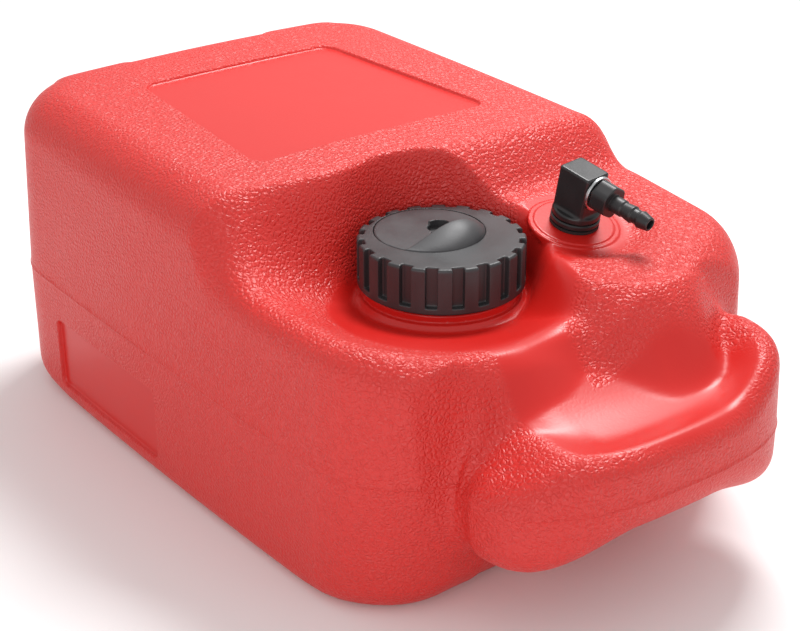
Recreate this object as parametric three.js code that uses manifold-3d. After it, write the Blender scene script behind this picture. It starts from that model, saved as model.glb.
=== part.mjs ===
import * as THREE from "three";
import { mergeVertices } from "three/addons/utils/BufferGeometryUtils.js";
import Module from "manifold-3d";

const wasm = await Module();
wasm.setup();

// A portable outboard fuel tank that lies flat, with its carrying handle toward -Y.
// Lengths are in millimetres and angles in radians.

// Body
const bodyHalfWidth = 125.5;
const rearWallY = 206;
const frontWallY = -159;
const rearCornerRadius = 44;
const frontCornerRadius = 40;
const sideBow = 2;
const partingHeight = 73;
const partingRidge = 0.5;
const partingRidgeHalfHeight = 0.9;
const wallDraft = THREE.MathUtils.degToRad(1.6);
const topHeight = 176;
const topFrontDrop = 5;
const topCrown = 1.5;
const frontLean = 9;
const frontLeanStartY = -60;
const topEdgeRadius = 25;
const bottomEdgeRadius = 12;
const wallThickness = 3.2;
const cavityLook = 12;

// Deck in front of the tall rear part
const stepTopY = 16;
const stepFootY = -33;
const deckRearHeight = 148;
const deckFrontHeight = 140;
const deckEdgeRadius = 19;

// Filler neck in its dish
const fillerX = -19;
const fillerY = -64;
const dishFloorHeight = 112;
const dishInnerRadius = 44;
const dishOuterRadius = 68;
const dishReachAtOutlet = 52;
const neckOuterRadius = 33.6;
const neckBoreRadius = 30.4;
const neckHeight = 24.2;
const collarRadius = 38.5;
const collarHeight = 8.4;
const collarFillet = 5;
const neckRootDepth = 9;

// Screw thread of cap and neck
const threadPitch = 6;
const threadTurns = 1.25;
const threadDepth = 2;
const threadRootWidth = 2.4;
const threadCrestWidth = 1.4;
const threadClearance = 0.8;

// Fuel outlet pad
const outletX = 48.5;
const outletY = -84.5;
const outletPadHeight = 142;
const outletTilt = THREE.MathUtils.degToRad(11.5);
const outletPadRadius = 21.6;
const outletPadRise = 1.2;
const outletShelfRadius = 24;
const outletBlendRadius = 46;
const outletBossDepth = 26;
const outletBossBaseRadius = 23;
const outletPadThickness = 4.5;
const outletSeatRadius = 15.5;

// Handle, its web, and the hand pocket under the web
const handleHalfWidth = 87;
const handleFrontY = -221.5;
const handleCenterY = -165;
const handleRoundness = 2.6;
const notchControlX = 70;
const notchFrontY = -181;
const handleRearY = -150;
const webHeight = 90;
const webThickness = 5;
const bowlCenterY = -172;
const bowlHalfWidth = 116;
const bowlHalfLength = 88;
const bowlFloorShare = 0.42;
const barCrestHeight = 100;
const barRootHeight = 111;
const barBottomHeight = 28;
const barDepth = 31;
const barEdgeRadius = 13;
const barUnderRadius = 20;
const barCavityRadius = 7;
const barCavityHalfHeight = 28;
const pocketDraft = 2.5;
const pocketRound = 5;
const pocketOverlap = 20;

// Recessed panel on top, and the label recess on the left wall
const panelRearY = 146;
const panelFrontY = 14;
const panelRearHalfWidth = 61.5;
const panelFrontHalfWidth = 74;
const panelCornerRadius = 9;
const panelDepth = 1.4;
const labelRearY = 143;
const labelFrontY = 36;
const labelBottomHeight = 12;
const labelTopHeight = 52;
const labelDepth = 1.3;

// Two standing feet on the rear wall
const footInnerX = 50;
const footOuterX = 94;
const footBottomHeight = 18;
const footTopHeight = 158;
const footProud = 2.4;
const footRun = 6;

// Cap
const capRadius = 41.2;
const capHeight = 23.2;
const capTopThickness = 6.4;
const capEdgeRound = 1.2;
const capSlotCount = 20;
const capSlotWidth = 6.3;
const capSlotDepth = 2.7;
const capRimHeight = 3.2;
const gasketThickness = 1.8;
const gasketInset = 1;

// Vent dial in the cap's top
const dialRadius = 27.2;
const dialOffsetY = 9.6;
const dialThickness = 3.2;
const dialStemRadius = 10;
const dialStemLength = 11.5;
const gripChordOffset = 12;
const gripHeight = 8;
const pocketBigRadius = 4.6;
const pocketSmallRadius = 3.4;
const pocketDepth = 2.4;
const pocketLipHeight = 1.6;
const pocketLipWidth = 1.1;
const dialClipThickness = 1.6;
const dialClipWidth = 3;
const ventHoleRadius = 1.2;
const ventHoleOffset = 19;

// Bush, seal and lock nut of the outlet
const bushFlangeRadius = 12.4;
const bushFlangeThickness = 2.8;
const bushTubeRadius = 8.6;
const bushTubeLength = 17;
const bushBoreRadius = 3.6;
const spigotRadius = 6.4;
const spigotHeight = 10;
const sealThickness = 1.4;
const lockNutHeight = 6;
const lockNutFlat = 11.6;

// Swivelling elbow and its hose barb
const elbowTurn = THREE.MathUtils.degToRad(7);
const elbowHalfWidth = 8;
const elbowHalfLength = 9.5;
const elbowHeight = 28.5;
const elbowEdgeRound = 1.6;
const elbowSocketDepth = 10.6;
const barbAxisHeight = 17;
const barbStubRadius = 4.9;
const barbStubLength = 7;
const barbBoreRadius = 2.4;
const washerRadius = 9;
const washerThickness = 1.5;
const hexFlat = 7.6;
const hexLength = 9.4;
const tailLength = 23;
const tailRootRadius = 4.3;
const tailBarbRadius = 4.5;
const tailTipRadius = 3.4;

// Pickup tube and strainer
const tubeRadius = 3.3;
const tubeBoreRadius = 2.3;
const tubeSocketDepth = 8;
const strainerRadius = 7.6;
const strainerLength = 24;
const strainerWall = 1.2;
const strainerFloorGap = 3;
const strainerSlotCount = 6;
const strainerSlotWidth = 4;
const screenWall = 0.7;
const plugThickness = 2.6;

// Round sealing rings sit in grooves of this depth
const sealGrooveDepth = 1.5;

// Running and assembly gap between neighbouring pieces, and how far a cutter overruns
const gap = 0.3;
const overrun = 4;

// Fineness
const roundSteps = 40;
const finePartSteps = 20;
const neckSteps = 48;
const threadStepsPerTurn = 30;

const bodyMiddleY = (rearWallY + handleFrontY) / 2;
const acrossShare = 0.9;
const alongShare = 0.45;
const edgeReachShare = 0.62;
const dishTurnStartShare = 0.5;
const fillerRimHeight = dishFloorHeight + neckHeight;
const capTopHeight = fillerRimHeight + gap + gasketThickness + gap + capTopThickness;
const capBottomHeight = capTopHeight - capHeight;

// Smooth rise from 0 to 1 while value runs from start to end.
function rise(start, end, value) {
  return THREE.MathUtils.smoothstep((value - start) / (end - start), 0, 1);
}

function blend(from, to, share) {
  return from + (to - from) * share;
}

// How far a plan point lies from the handle's middle, 1 being its rounded outline.
function handleReach(x, y) {
  const across = Math.abs(x) / handleHalfWidth;
  const along = Math.max(0, handleCenterY - y) / (handleCenterY - handleFrontY);
  return Math.pow(Math.pow(across, handleRoundness) + Math.pow(along, handleRoundness), 1 / handleRoundness);
}

// Height of the upper surface over a plan point.
function upperHeight(x, y) {
  const deckSlope = (deckRearHeight - deckFrontHeight) / (stepFootY - frontWallY);
  const deckPlane = deckRearHeight + deckSlope * (y - stepFootY);
  const topSlope = topFrontDrop / (rearWallY - stepTopY);
  const topPlane = topHeight - topSlope * (rearWallY - y) - topCrown * (x / bodyHalfWidth) ** 2;
  let height = blend(deckPlane, topPlane, rise(stepFootY, stepTopY, y));

  const shelfPlane = outletPadHeight - outletPadRise + Math.tan(outletTilt) * (y - outletY);
  const outletDistance = Math.hypot(x - outletX, y - outletY);
  const fillerDistance = Math.hypot(x - fillerX, y - fillerY);
  const apart = Math.hypot(outletX - fillerX, outletY - fillerY);
  const facing = ((x - fillerX) * (outletX - fillerX) + (y - fillerY) * (outletY - fillerY))
    / (apart * Math.max(fillerDistance, gap));
  const dishReach = blend(dishOuterRadius, dishReachAtOutlet, rise(dishTurnStartShare, 1, facing));
  height = blend(height, shelfPlane, 1 - rise(outletShelfRadius, outletBlendRadius, outletDistance));
  height = blend(dishFloorHeight, height, rise(dishInnerRadius, dishReach, fillerDistance));

  const bowlReach = Math.hypot(x / bowlHalfWidth, Math.min(0, bowlCenterY - y) / bowlHalfLength);
  const reach = handleReach(x, y);
  const crest = blend(barCrestHeight, barRootHeight, rise(handleHalfWidth / 2, handleHalfWidth, Math.abs(x)));
  const crestReach = (handleHalfWidth - barEdgeRadius) / handleHalfWidth;
  const slopeReach = (handleHalfWidth - barDepth - barEdgeRadius) / handleHalfWidth;
  const bowlFloor = blend(webHeight, crest, rise(slopeReach, crestReach, reach));
  const frontShare = 1 - rise(handleCenterY, handleCenterY + barDepth, y);
  const floor = blend(webHeight, bowlFloor, frontShare);
  const deckShare = rise(bowlFloorShare, 1, bowlReach) * rise(handleCenterY, frontWallY + barEdgeRadius, y);
  return blend(floor, height, deckShare);
}

function upperEdgeRadius(y) {
  const deckOrBar = blend(barEdgeRadius, deckEdgeRadius, rise(handleCenterY, frontWallY + frontCornerRadius, y));
  return blend(deckOrBar, topEdgeRadius, rise(stepFootY, stepTopY, y));
}

// Right half of the body's plan outline at the parting line, from the rear middle to the front.
function bodyHalf() {
  const points = [];
  const cornerX = bodyHalfWidth - rearCornerRadius;
  const rearColumns = 4;
  const cornerColumns = 5;
  const sideColumns = 5;
  const deckColumns = 11;
  for (let i = 0; i < rearColumns; i++) points.push([(cornerX * i) / rearColumns, rearWallY]);
  const rearSideY = rearWallY - rearCornerRadius;
  for (let i = 0; i < cornerColumns; i++) {
    const angle = (Math.PI / 2) * (1 - i / cornerColumns);
    points.push([cornerX + rearCornerRadius * Math.cos(angle), rearSideY + rearCornerRadius * Math.sin(angle)]);
  }
  const frontSideY = frontWallY + frontCornerRadius;
  for (let i = 0; i < sideColumns; i++) {
    points.push([bodyHalfWidth, blend(rearSideY, stepTopY, i / sideColumns)]);
  }
  for (let i = 0; i < deckColumns; i++) {
    points.push([bodyHalfWidth, blend(stepTopY, frontSideY, i / deckColumns)]);
  }
  const frontX = bodyHalfWidth - frontCornerRadius;
  for (let i = 0; i < cornerColumns; i++) {
    const angle = (-Math.PI / 2) * (i / cornerColumns);
    points.push([frontX + frontCornerRadius * Math.cos(angle), frontSideY + frontCornerRadius * Math.sin(angle)]);
  }
  const middleY = (rearSideY + frontSideY) / 2;
  const halfLength = (rearSideY - frontSideY) / 2;
  return points.map(([x, y]) => {
    const side = Math.min(1, x / bodyHalfWidth) ** 4;
    const bow = sideBow * side * Math.max(0, 1 - ((y - middleY) / halfLength) ** 2);
    return [x + bow, y];
  });
}

const handleLength = handleCenterY - handleFrontY;
const handleStartAngle = Math.asin(Math.pow((handleCenterY - notchFrontY) / handleLength, handleRoundness / 2));

// Point of the handle's rounded plan, moved inward by inset.
function handlePoint(angle, inset) {
  return [
    (handleHalfWidth - inset) * Math.pow(Math.max(0, Math.cos(angle)), 2 / handleRoundness),
    handleCenterY - (handleLength - inset) * Math.pow(Math.sin(angle), 2 / handleRoundness),
  ];
}

const notch = new THREE.QuadraticBezierCurve(
  new THREE.Vector2(bodyHalfWidth - frontCornerRadius, frontWallY),
  new THREE.Vector2(notchControlX, (frontWallY + handleCenterY) / 2),
  new THREE.Vector2(...handlePoint(handleStartAngle, 0)),
);

// Right half of the handle's front, from the notch to the front middle.
function handleHalf(notchStart, notchColumns, inset = 0) {
  const points = [];
  for (let i = 0; i < notchColumns; i++) {
    const [x, y] = notch.getPoint(blend(notchStart, 1, i / notchColumns)).toArray();
    points.push([x - inset, y]);
  }
  const handleColumns = 10;
  for (let i = 0; i <= handleColumns; i++) {
    points.push(handlePoint(blend(handleStartAngle, Math.PI / 2, i / handleColumns), inset));
  }
  return points;
}

function mirrored(half) {
  const other = half.slice(1, -1).reverse().map(([x, y]) => [-x, y]);
  return [...half, ...other];
}

// An outline point moved inward, by the same share of the way to the middle on every side.
function movedIn([x, y], inset) {
  const share = inset / (acrossShare * bodyHalfWidth);
  return [x * (1 - acrossShare * share), bodyMiddleY + (y - bodyMiddleY) * (1 - alongShare * share)];
}

// The standing feet push the rear wall out over two upright bands, and the front wall leans back below.
function shaped([x, y, z]) {
  const band = rise(footInnerX - footRun, footInnerX, Math.abs(x)) * (1 - rise(footOuterX - footRun, footOuterX, Math.abs(x)));
  const span = rise(footBottomHeight, footBottomHeight + footRun, z) * (1 - rise(footTopHeight, footTopHeight + footRun, z));
  const push = y > rearWallY - rearCornerRadius ? footProud * band * span : 0;
  const lean = frontLean * rise(-frontLeanStartY, -frontWallY, -y) * Math.max(0, 1 - z / partingHeight);
  return [x, y + push + lean, z];
}

// Upper solid: the whole outline, from just under the parting line to the top.
function upperSolid() {
  const notchColumns = 5;
  const outline = mirrored([...bodyHalf(), ...handleHalf(0, notchColumns)]);
  const column = outline.map((point) => {
    const reach = upperHeight(...movedIn(point, upperEdgeRadius(point[1]))) - partingHeight;
    return { point, radius: Math.min(upperEdgeRadius(point[1]), reach * edgeReachShare) };
  });
  const level = (push, z) => outline.map((point) => shaped([...movedIn(point, -push), z]));
  const rows = [
    level(0, partingHeight - partingRidgeHalfHeight),
    level(partingRidge, partingHeight),
    level(0, partingHeight + partingRidgeHalfHeight),
  ];
  const draftOver = (point, radius) => Math.tan(wallDraft) * (upperHeight(...movedIn(point, radius)) - partingHeight);
  for (const share of [0.5, 1]) {
    rows.push(column.map(({ point, radius }) => {
      const edge = upperHeight(...movedIn(point, radius)) - radius;
      const z = blend(partingHeight + partingRidgeHalfHeight, edge, share);
      return shaped([...movedIn(point, Math.tan(wallDraft) * (z - partingHeight)), z]);
    }));
  }
  const arcSteps = 4;
  for (let i = 1; i <= arcSteps; i++) {
    const angle = (Math.PI / 2) * (i / arcSteps);
    rows.push(column.map(({ point, radius }) => {
      const [x, y] = movedIn(point, draftOver(point, radius) + radius * (1 - Math.cos(angle)));
      return shaped([x, y, upperHeight(x, y) - radius * (1 - Math.sin(angle))]);
    }));
  }
  const insetShares = [0.1, 0.21, 0.32, 0.43, 0.54, 0.65, 0.76, 0.88, 1];
  for (const share of insetShares) {
    rows.push(column.map(({ point, radius }) => {
      const [x, y] = movedIn(point, blend(draftOver(point, radius) + radius, acrossShare * bodyHalfWidth, share));
      return [x, y, upperHeight(x, y)];
    }));
  }
  return solid(throughRings(rows));
}

// Lower solid of given bottom height and edge radius, from the parting line down.
function lowerSolid(outline, inward, bottom, radius) {
  const wallTop = partingHeight - 2 * partingRidgeHalfHeight;
  const draftAt = (z) => Math.tan(wallDraft) * (partingHeight - z);
  const rows = [
    outline.map((point) => shaped([...inward(point, gap), partingHeight])),
    outline.map((point) => shaped([...inward(point, 0), wallTop])),
    outline.map((point) => shaped([...inward(point, draftAt(bottom + radius)), bottom + radius])),
  ];
  const arcSteps = 3;
  for (let i = 1; i <= arcSteps; i++) {
    const angle = (Math.PI / 2) * (i / arcSteps);
    const inset = draftAt(bottom + radius) + radius * (1 - Math.cos(angle));
    rows.push(outline.map((point) => shaped([...inward(point, inset), bottom + radius * (1 - Math.sin(angle))])));
  }
  return solid(throughRings(rows));
}

function bodyLower() {
  const half = bodyHalf();
  const frontX = bodyHalfWidth - frontCornerRadius;
  half.push([frontX, frontWallY], [frontX / 2, frontWallY], [0, frontWallY]);
  return lowerSolid(mirrored(half), movedIn, 0, bottomEdgeRadius);
}

// The handle's plan moves in toward its own middle and keeps its rear edge inside the body.
function handleIn([x, y], inset) {
  const along = Math.min(0, y - handleCenterY) * (1 - inset / handleLength);
  return [x * (1 - inset / handleHalfWidth), Math.max(0, y - handleCenterY) + handleCenterY + along];
}

function handleOutline(rearY, inset) {
  const notchColumns = 3;
  const half = handleHalf(1 / 2, notchColumns, inset);
  const [sideX] = half[0];
  return mirrored([[0, rearY], [sideX, rearY], ...half]);
}

// Hand pocket under the web, open downward.
function pocketCutter(rearY) {
  const outline = handleOutline(rearY, barDepth);
  const top = webHeight - webThickness;
  const rows = [
    outline.map((point) => [...handleIn(point, -pocketDraft), barBottomHeight - overrun]),
    outline.map((point) => [...point, top - pocketRound]),
  ];
  const arcSteps = 3;
  for (let i = 1; i <= arcSteps; i++) {
    const angle = (Math.PI / 2) * (i / arcSteps);
    rows.push(outline.map((point) => [
      ...handleIn(point, pocketRound * (1 - Math.cos(angle))),
      top - pocketRound * (1 - Math.sin(angle)),
    ]));
  }
  return solid(throughRings(rows));
}

function outerBody() {
  const handleLower = lowerSolid(handleOutline(handleRearY, 0), handleIn, barBottomHeight, barUnderRadius)
    .subtract(pocketCutter(handleRearY + pocketOverlap));
  const upper = upperSolid().subtract(pocketCutter(frontWallY));
  return upper.add(bodyLower()).add(handleLower);
}

// Closed geometry through rings of equal length. Each end ring is closed straight across,
// from its points on one side to their partners on the other.
function throughRings(rings) {
  const count = rings[0].length;
  const index = [];
  for (let r = 0; r + 1 < rings.length; r++) {
    for (let i = 0; i < count; i++) {
      const a = r * count + i;
      const b = r * count + ((i + 1) % count);
      index.push(a, b, b + count, a, b + count, a + count);
    }
  }
  const close = (first, forward) => {
    for (let i = 0; i < count / 2; i++) {
      const a = first + i;
      const b = first + i + 1;
      const c = first + ((count - i - 1) % count);
      const d = first + ((count - i) % count);
      if (b !== c) index.push(...(forward ? [a, b, c] : [a, c, b]));
      if (a !== d) index.push(...(forward ? [a, c, d] : [a, d, c]));
    }
  };
  close(0, false);
  close((rings.length - 1) * count, true);
  const geometry = new THREE.BufferGeometry();
  geometry.setAttribute("position", new THREE.Float32BufferAttribute(rings.flat(2), 3));
  geometry.setIndex(index);
  return geometry;
}

// Solids for joining and cutting.
function solid(geometry) {
  const bare = geometry.clone();
  bare.deleteAttribute("normal");
  bare.deleteAttribute("uv");
  const merged = mergeVertices(bare, 1e-3);
  const vertProperties = merged.getAttribute("position").array;
  const triVerts = new Uint32Array(merged.index.array);
  const build = () => new wasm.Manifold(new wasm.Mesh({ numProp: 3, vertProperties, triVerts }));
  const made = build();
  if (made.volume() > 0) return made;
  for (let i = 0; i < triVerts.length; i += 3) {
    [triVerts[i + 1], triVerts[i + 2]] = [triVerts[i + 2], triVerts[i + 1]];
  }
  return build();
}

function geometryOf(made) {
  const { vertProperties, triVerts, numProp } = made.getMesh();
  const positions = new Float32Array((vertProperties.length / numProp) * 3);
  for (let i = 0; i < positions.length / 3; i++) {
    positions.set(vertProperties.subarray(i * numProp, i * numProp + 3), i * 3);
  }
  const geometry = new THREE.BufferGeometry();
  geometry.setAttribute("position", new THREE.BufferAttribute(positions, 3));
  geometry.setIndex(new THREE.BufferAttribute(new Uint32Array(triVerts), 1));
  geometry.computeVertexNormals();
  return geometry;
}

// Upright turned solid from [radius, height] pairs that close on themselves.
function turned(profile, steps = roundSteps) {
  const points = profile.map(([radius, height]) => new THREE.Vector2(radius, height));
  points.push(points[0].clone());
  return solid(new THREE.LatheGeometry(points, steps).rotateX(Math.PI / 2));
}

function disc(radius, bottom, top, steps = roundSteps) {
  const geometry = new THREE.CylinderGeometry(radius, radius, top - bottom, steps);
  return solid(geometry.rotateX(Math.PI / 2).translate(0, 0, (top + bottom) / 2));
}

function ring(outer, inner, bottom, top, steps = roundSteps) {
  return turned([[inner, bottom], [outer, bottom], [outer, top], [inner, top]], steps);
}

function block(sizeX, sizeY, sizeZ, x, y, z) {
  return solid(new THREE.BoxGeometry(sizeX, sizeY, sizeZ).translate(x, y, z));
}

function moved(made, matrix) {
  return solid(geometryOf(made).applyMatrix4(matrix));
}

// A helical ridge of tapering ends, standing out of or into a wall of the given radius.
function threadRidge(wallRadius, depth, bottom, turns, turnStart) {
  const steps = Math.round(threadStepsPerTurn * turns);
  const rings = [];
  for (let i = 0; i <= steps; i++) {
    const share = i / steps;
    const angle = turnStart + turns * share * 2 * Math.PI;
    const z = bottom + turns * share * threadPitch;
    const ends = Math.min(1, Math.min(share, 1 - share) * turns * 8 + 0.15);
    const root = wallRadius - Math.sign(depth) * gap;
    const crest = wallRadius + depth * ends;
    const section = [
      [root, -threadRootWidth / 2],
      [crest, (-threadCrestWidth / 2) * ends],
      [crest, (threadCrestWidth / 2) * ends],
      [root, threadRootWidth / 2],
    ];
    rings.push(section.map(([radius, rise]) => [radius * Math.cos(angle), radius * Math.sin(angle), z + rise]));
  }
  return solid(throughRings(rings));
}

const outletFrame = new THREE.Matrix4()
  .makeTranslation(outletX, outletY, outletPadHeight)
  .multiply(new THREE.Matrix4().makeRotationX(outletTilt));
const fillerFrame = new THREE.Matrix4().makeTranslation(fillerX, fillerY, 0);

// The fuel space of the body, a wall's thickness inside it.
function bodyCavity() {
  const cavityFrontY = frontWallY + wallThickness;
  const halfWidth = bodyHalfWidth - wallThickness;
  const rearY = rearWallY - wallThickness;
  const radius = rearCornerRadius - wallThickness;
  const cornerSteps = 7;
  const half = [];
  const arc = (centerX, centerY, from, to) => {
    for (let i = 0; i <= cornerSteps; i++) {
      const angle = blend(from, to, i / cornerSteps);
      half.push([centerX + radius * Math.cos(angle), centerY + radius * Math.sin(angle)]);
    }
  };
  const sideSteps = 11;
  half.push([0, rearY]);
  arc(halfWidth - radius, rearY - radius, Math.PI / 2, 0);
  for (let i = 1; i < sideSteps; i++) {
    half.push([halfWidth, blend(rearY - radius, cavityFrontY + radius, i / sideSteps)]);
  }
  arc(halfWidth - radius, cavityFrontY + radius, 0, -Math.PI / 2);
  const frontSteps = 5;
  for (let i = 1; i <= frontSteps; i++) {
    half.push([blend(halfWidth - radius, 0, i / frontSteps), cavityFrontY]);
  }
  const outline = mirrored(half);
  const middleY = (rearY + cavityFrontY) / 2;
  const inward = ([x, y], inset) => {
    const share = inset / (acrossShare * halfWidth);
    return [x * (1 - acrossShare * share), middleY + (y - middleY) * (1 - alongShare * share)];
  };
  const ceiling = (x, y) => {
    const looks = 12;
    let lowest = upperHeight(x, y) - wallThickness;
    for (const reachShare of [1 / 2, 1]) {
      for (let i = 0; i < looks; i++) {
        const angle = (2 * Math.PI * i) / looks;
        const reach = cavityLook * reachShare;
        const height = upperHeight(x + reach * Math.cos(angle), y + reach * Math.sin(angle));
        lowest = Math.min(lowest, height - wallThickness);
      }
    }
    return lowest;
  };
  const rows = [];
  const floorRound = bottomEdgeRadius - wallThickness;
  const draftIn = (z) => Math.tan(wallDraft) * Math.abs(z - partingHeight);
  rows.push(outline.map((point) => [...inward(point, acrossShare * halfWidth * 0.9), wallThickness]));
  rows.push(outline.map((point) => [...inward(point, floorRound + draftIn(0)), wallThickness]));
  rows.push(outline.map((point) => [...inward(point, floorRound / 3 + draftIn(0)), wallThickness + floorRound / 3]));
  rows.push(outline.map((point) => [...inward(point, draftIn(0)), wallThickness + floorRound]));
  rows.push(outline.map((point) => [...point, partingHeight]));
  const edge = (point) => Math.max(deckEdgeRadius, upperEdgeRadius(point[1])) - wallThickness;
  for (const share of [0, 0.5, 1]) {
    const angle = (Math.PI / 2) * share;
    rows.push(outline.map((point) => {
      const round = edge(point);
      const [x, y] = inward(point, draftIn(topHeight) + round * (1 - Math.cos(angle)));
      const [overX, overY] = inward(point, draftIn(topHeight) + round);
      const top = blend(ceiling(overX, overY), ceiling(x, y), share);
      return [x, y, Math.max(partingHeight + wallThickness, top - round * (1 - Math.sin(angle)))];
    }));
  }
  const innerShares = [0.12, 0.24, 0.36, 0.48, 0.6, 0.73, 0.87];
  for (const share of innerShares) {
    rows.push(outline.map((point) => {
      const [x, y] = inward(point, blend(draftIn(topHeight) + edge(point), acrossShare * halfWidth, share));
      return [x, y, ceiling(x, y)];
    }));
  }
  return solid(throughRings(rows.map((row) => row.map(shaped))));
}

// The hollow inside the handle bar, open into the fuel space at both roots.
function barCavity() {
  const rootY = frontWallY + wallThickness + barDepth / 2;
  const armX = (handleHalfWidth - barDepth + notch.getPoint(1 / 2).x) / 2;
  const bendAngles = [Math.PI / 8, Math.PI / 4, Math.PI / 2.6];
  const right = [
    [armX - barCavityRadius, rootY],
    [armX, frontWallY],
    ...bendAngles.map((angle) => handlePoint(angle, barDepth / 2)),
  ];
  const front = handlePoint(Math.PI / 2, barDepth / 2);
  const left = right.map(([x, y]) => [-x, y]).reverse();
  const bends = new THREE.CatmullRomCurve3([...right, front, ...left].map(([x, y]) => new THREE.Vector3(x, y, 0)));
  const steps = 18;
  const sides = 10;
  const middle = (barBottomHeight + barCrestHeight) / 2;
  const rings = [];
  for (let i = 0; i <= steps; i++) {
    const center = bends.getPoint(i / steps);
    const along = bends.getTangent(i / steps);
    const across = new THREE.Vector3(-along.y, along.x, 0).normalize();
    const section = [];
    for (let k = 0; k < sides; k++) {
      const angle = (2 * Math.PI * k) / sides;
      const point = center.clone().addScaledVector(across, barCavityRadius * Math.cos(angle));
      section.push([point.x, point.y, middle + barCavityHalfHeight * Math.sin(angle)]);
    }
    rings.push(section);
  }
  return solid(throughRings(rings));
}

function neck() {
  const bottom = dishFloorHeight - neckRootDepth;
  const collarTop = dishFloorHeight + collarHeight;
  const rimRound = threadClearance;
  const tube = turned([
    [neckBoreRadius, bottom],
    [collarRadius + collarFillet, bottom],
    [collarRadius + collarFillet, dishFloorHeight - gap],
    [collarRadius + collarFillet / 4, dishFloorHeight + collarFillet / 4],
    [collarRadius, dishFloorHeight + collarFillet],
    [collarRadius, collarTop - rimRound],
    [collarRadius - rimRound, collarTop],
    [neckOuterRadius, collarTop],
    [neckOuterRadius, fillerRimHeight - rimRound],
    [neckOuterRadius - rimRound, fillerRimHeight],
    [neckBoreRadius, fillerRimHeight],
  ], neckSteps);
  const threadBottom = fillerRimHeight - threadTurns * threadPitch - threadRootWidth;
  const ridge = threadRidge(neckOuterRadius, threadDepth, threadBottom, threadTurns, 0);
  return tube.add(ridge);
}

function panelCut() {
  const shape = new THREE.Shape();
  const corners = [
    [-panelFrontHalfWidth, panelFrontY],
    [panelFrontHalfWidth, panelFrontY],
    [panelRearHalfWidth, panelRearY],
    [-panelRearHalfWidth, panelRearY],
  ].map(([x, y]) => new THREE.Vector2(x, y));
  corners.forEach((corner, i) => {
    const before = corners[(i + 3) % 4].clone().sub(corner).setLength(panelCornerRadius).add(corner);
    const after = corners[(i + 1) % 4].clone().sub(corner).setLength(panelCornerRadius).add(corner);
    if (i === 0) shape.moveTo(before.x, before.y);
    else shape.lineTo(before.x, before.y);
    shape.quadraticCurveTo(corner.x, corner.y, after.x, after.y);
  });
  const geometry = new THREE.ExtrudeGeometry(shape, { depth: topEdgeRadius, bevelEnabled: false, curveSegments: 4 });
  const tilt = Math.atan(topFrontDrop / (rearWallY - stepTopY));
  geometry.translate(0, -rearWallY, 0).rotateX(tilt).translate(0, rearWallY, topHeight - panelDepth - topCrown / 4);
  return solid(geometry);
}

function labelCut() {
  const length = labelRearY - labelFrontY;
  const height = labelTopHeight - labelBottomHeight;
  const tilt = Math.atan(labelDepth / height);
  const geometry = new THREE.BoxGeometry(bottomEdgeRadius, length, height).translate(-bottomEdgeRadius / 2, 0, height / 2);
  const wallX = -bodyHalfWidth + Math.tan(wallDraft) * (partingHeight - labelBottomHeight) - sideBow / 2 + labelDepth;
  geometry.rotateY(-tilt).translate(wallX, (labelRearY + labelFrontY) / 2, labelBottomHeight);
  return solid(geometry);
}

function tankShell() {
  let shell = outerBody().subtract(panelCut()).subtract(labelCut());
  shell = shell.subtract(bodyCavity().add(barCavity()));
  shell = shell.add(moved(neck(), fillerFrame));
  const bore = disc(neckBoreRadius, dishFloorHeight - neckRootDepth - overrun, fillerRimHeight + overrun, neckSteps);
  shell = shell.subtract(moved(bore, fillerFrame));
  const boss = turned([
    [outletSeatRadius, -outletBossDepth],
    [outletBossBaseRadius, -outletBossDepth],
    [outletPadRadius, 0],
    [0, 0],
    [0, -outletPadThickness],
    [outletSeatRadius, -outletPadThickness],
  ]);
  const room = disc(outletSeatRadius + capEdgeRound, -outletBossDepth - overrun, -outletPadThickness);
  const hole = disc(bushTubeRadius + gap, -outletPadThickness - overrun, overrun, finePartSteps);
  const cleared = shell.subtract(moved(room, outletFrame));
  return cleared.add(moved(boss, outletFrame)).subtract(moved(hole, outletFrame));
}

// Cap pieces, in the filler's own frame.
const neckThreadCrest = neckOuterRadius + threadDepth;
const capSkirtInner = neckThreadCrest + threadClearance;
const gasketTop = capTopHeight - capTopThickness - gap;
const dialFloor = capTopHeight - dialThickness - gap;

function capShell() {
  const top = capTopHeight;
  const under = capTopHeight - capTopThickness;
  let cap = turned([
    [0, under],
    [capSkirtInner, under],
    [capSkirtInner, capBottomHeight],
    [capRadius - capEdgeRound, capBottomHeight],
    [capRadius, capBottomHeight + capEdgeRound],
    [capRadius, top - capEdgeRound],
    [capRadius - capEdgeRound, top],
    [0, top],
  ].filter(([radius], i, all) => radius > 0 || i === 0 || i === all.length - 1), neckSteps);
  const slotLength = top - capBottomHeight - capRimHeight + overrun;
  for (let i = 0; i < capSlotCount; i++) {
    const slot = new THREE.BoxGeometry(2 * capSlotDepth, capSlotWidth, slotLength)
      .translate(capRadius, 0, capBottomHeight + capRimHeight + slotLength / 2)
      .rotateZ((2 * Math.PI * (i + 0.5)) / capSlotCount);
    cap = cap.subtract(solid(slot));
  }
  const threadBottom = capBottomHeight + threadRootWidth;
  const neckThreadBottom = fillerRimHeight - threadTurns * threadPitch - threadRootWidth;
  const offsetTurns = (threadBottom - neckThreadBottom) / threadPitch - 0.5;
  cap = cap.add(threadRidge(capSkirtInner, -threadDepth, threadBottom, threadTurns, offsetTurns * 2 * Math.PI));
  const recess = disc(dialRadius + gap, dialFloor, top + overrun, neckSteps)
    .add(disc(dialStemRadius + gap, under - overrun, top, finePartSteps))
    .add(solid(new THREE.CylinderGeometry(ventHoleRadius, ventHoleRadius, 4 * overrun, 12)
      .rotateX(Math.PI / 2).translate(0, ventHoleOffset, top)));
  return cap.subtract(moved(recess, new THREE.Matrix4().makeTranslation(0, dialOffsetY, 0)));
}

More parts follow.
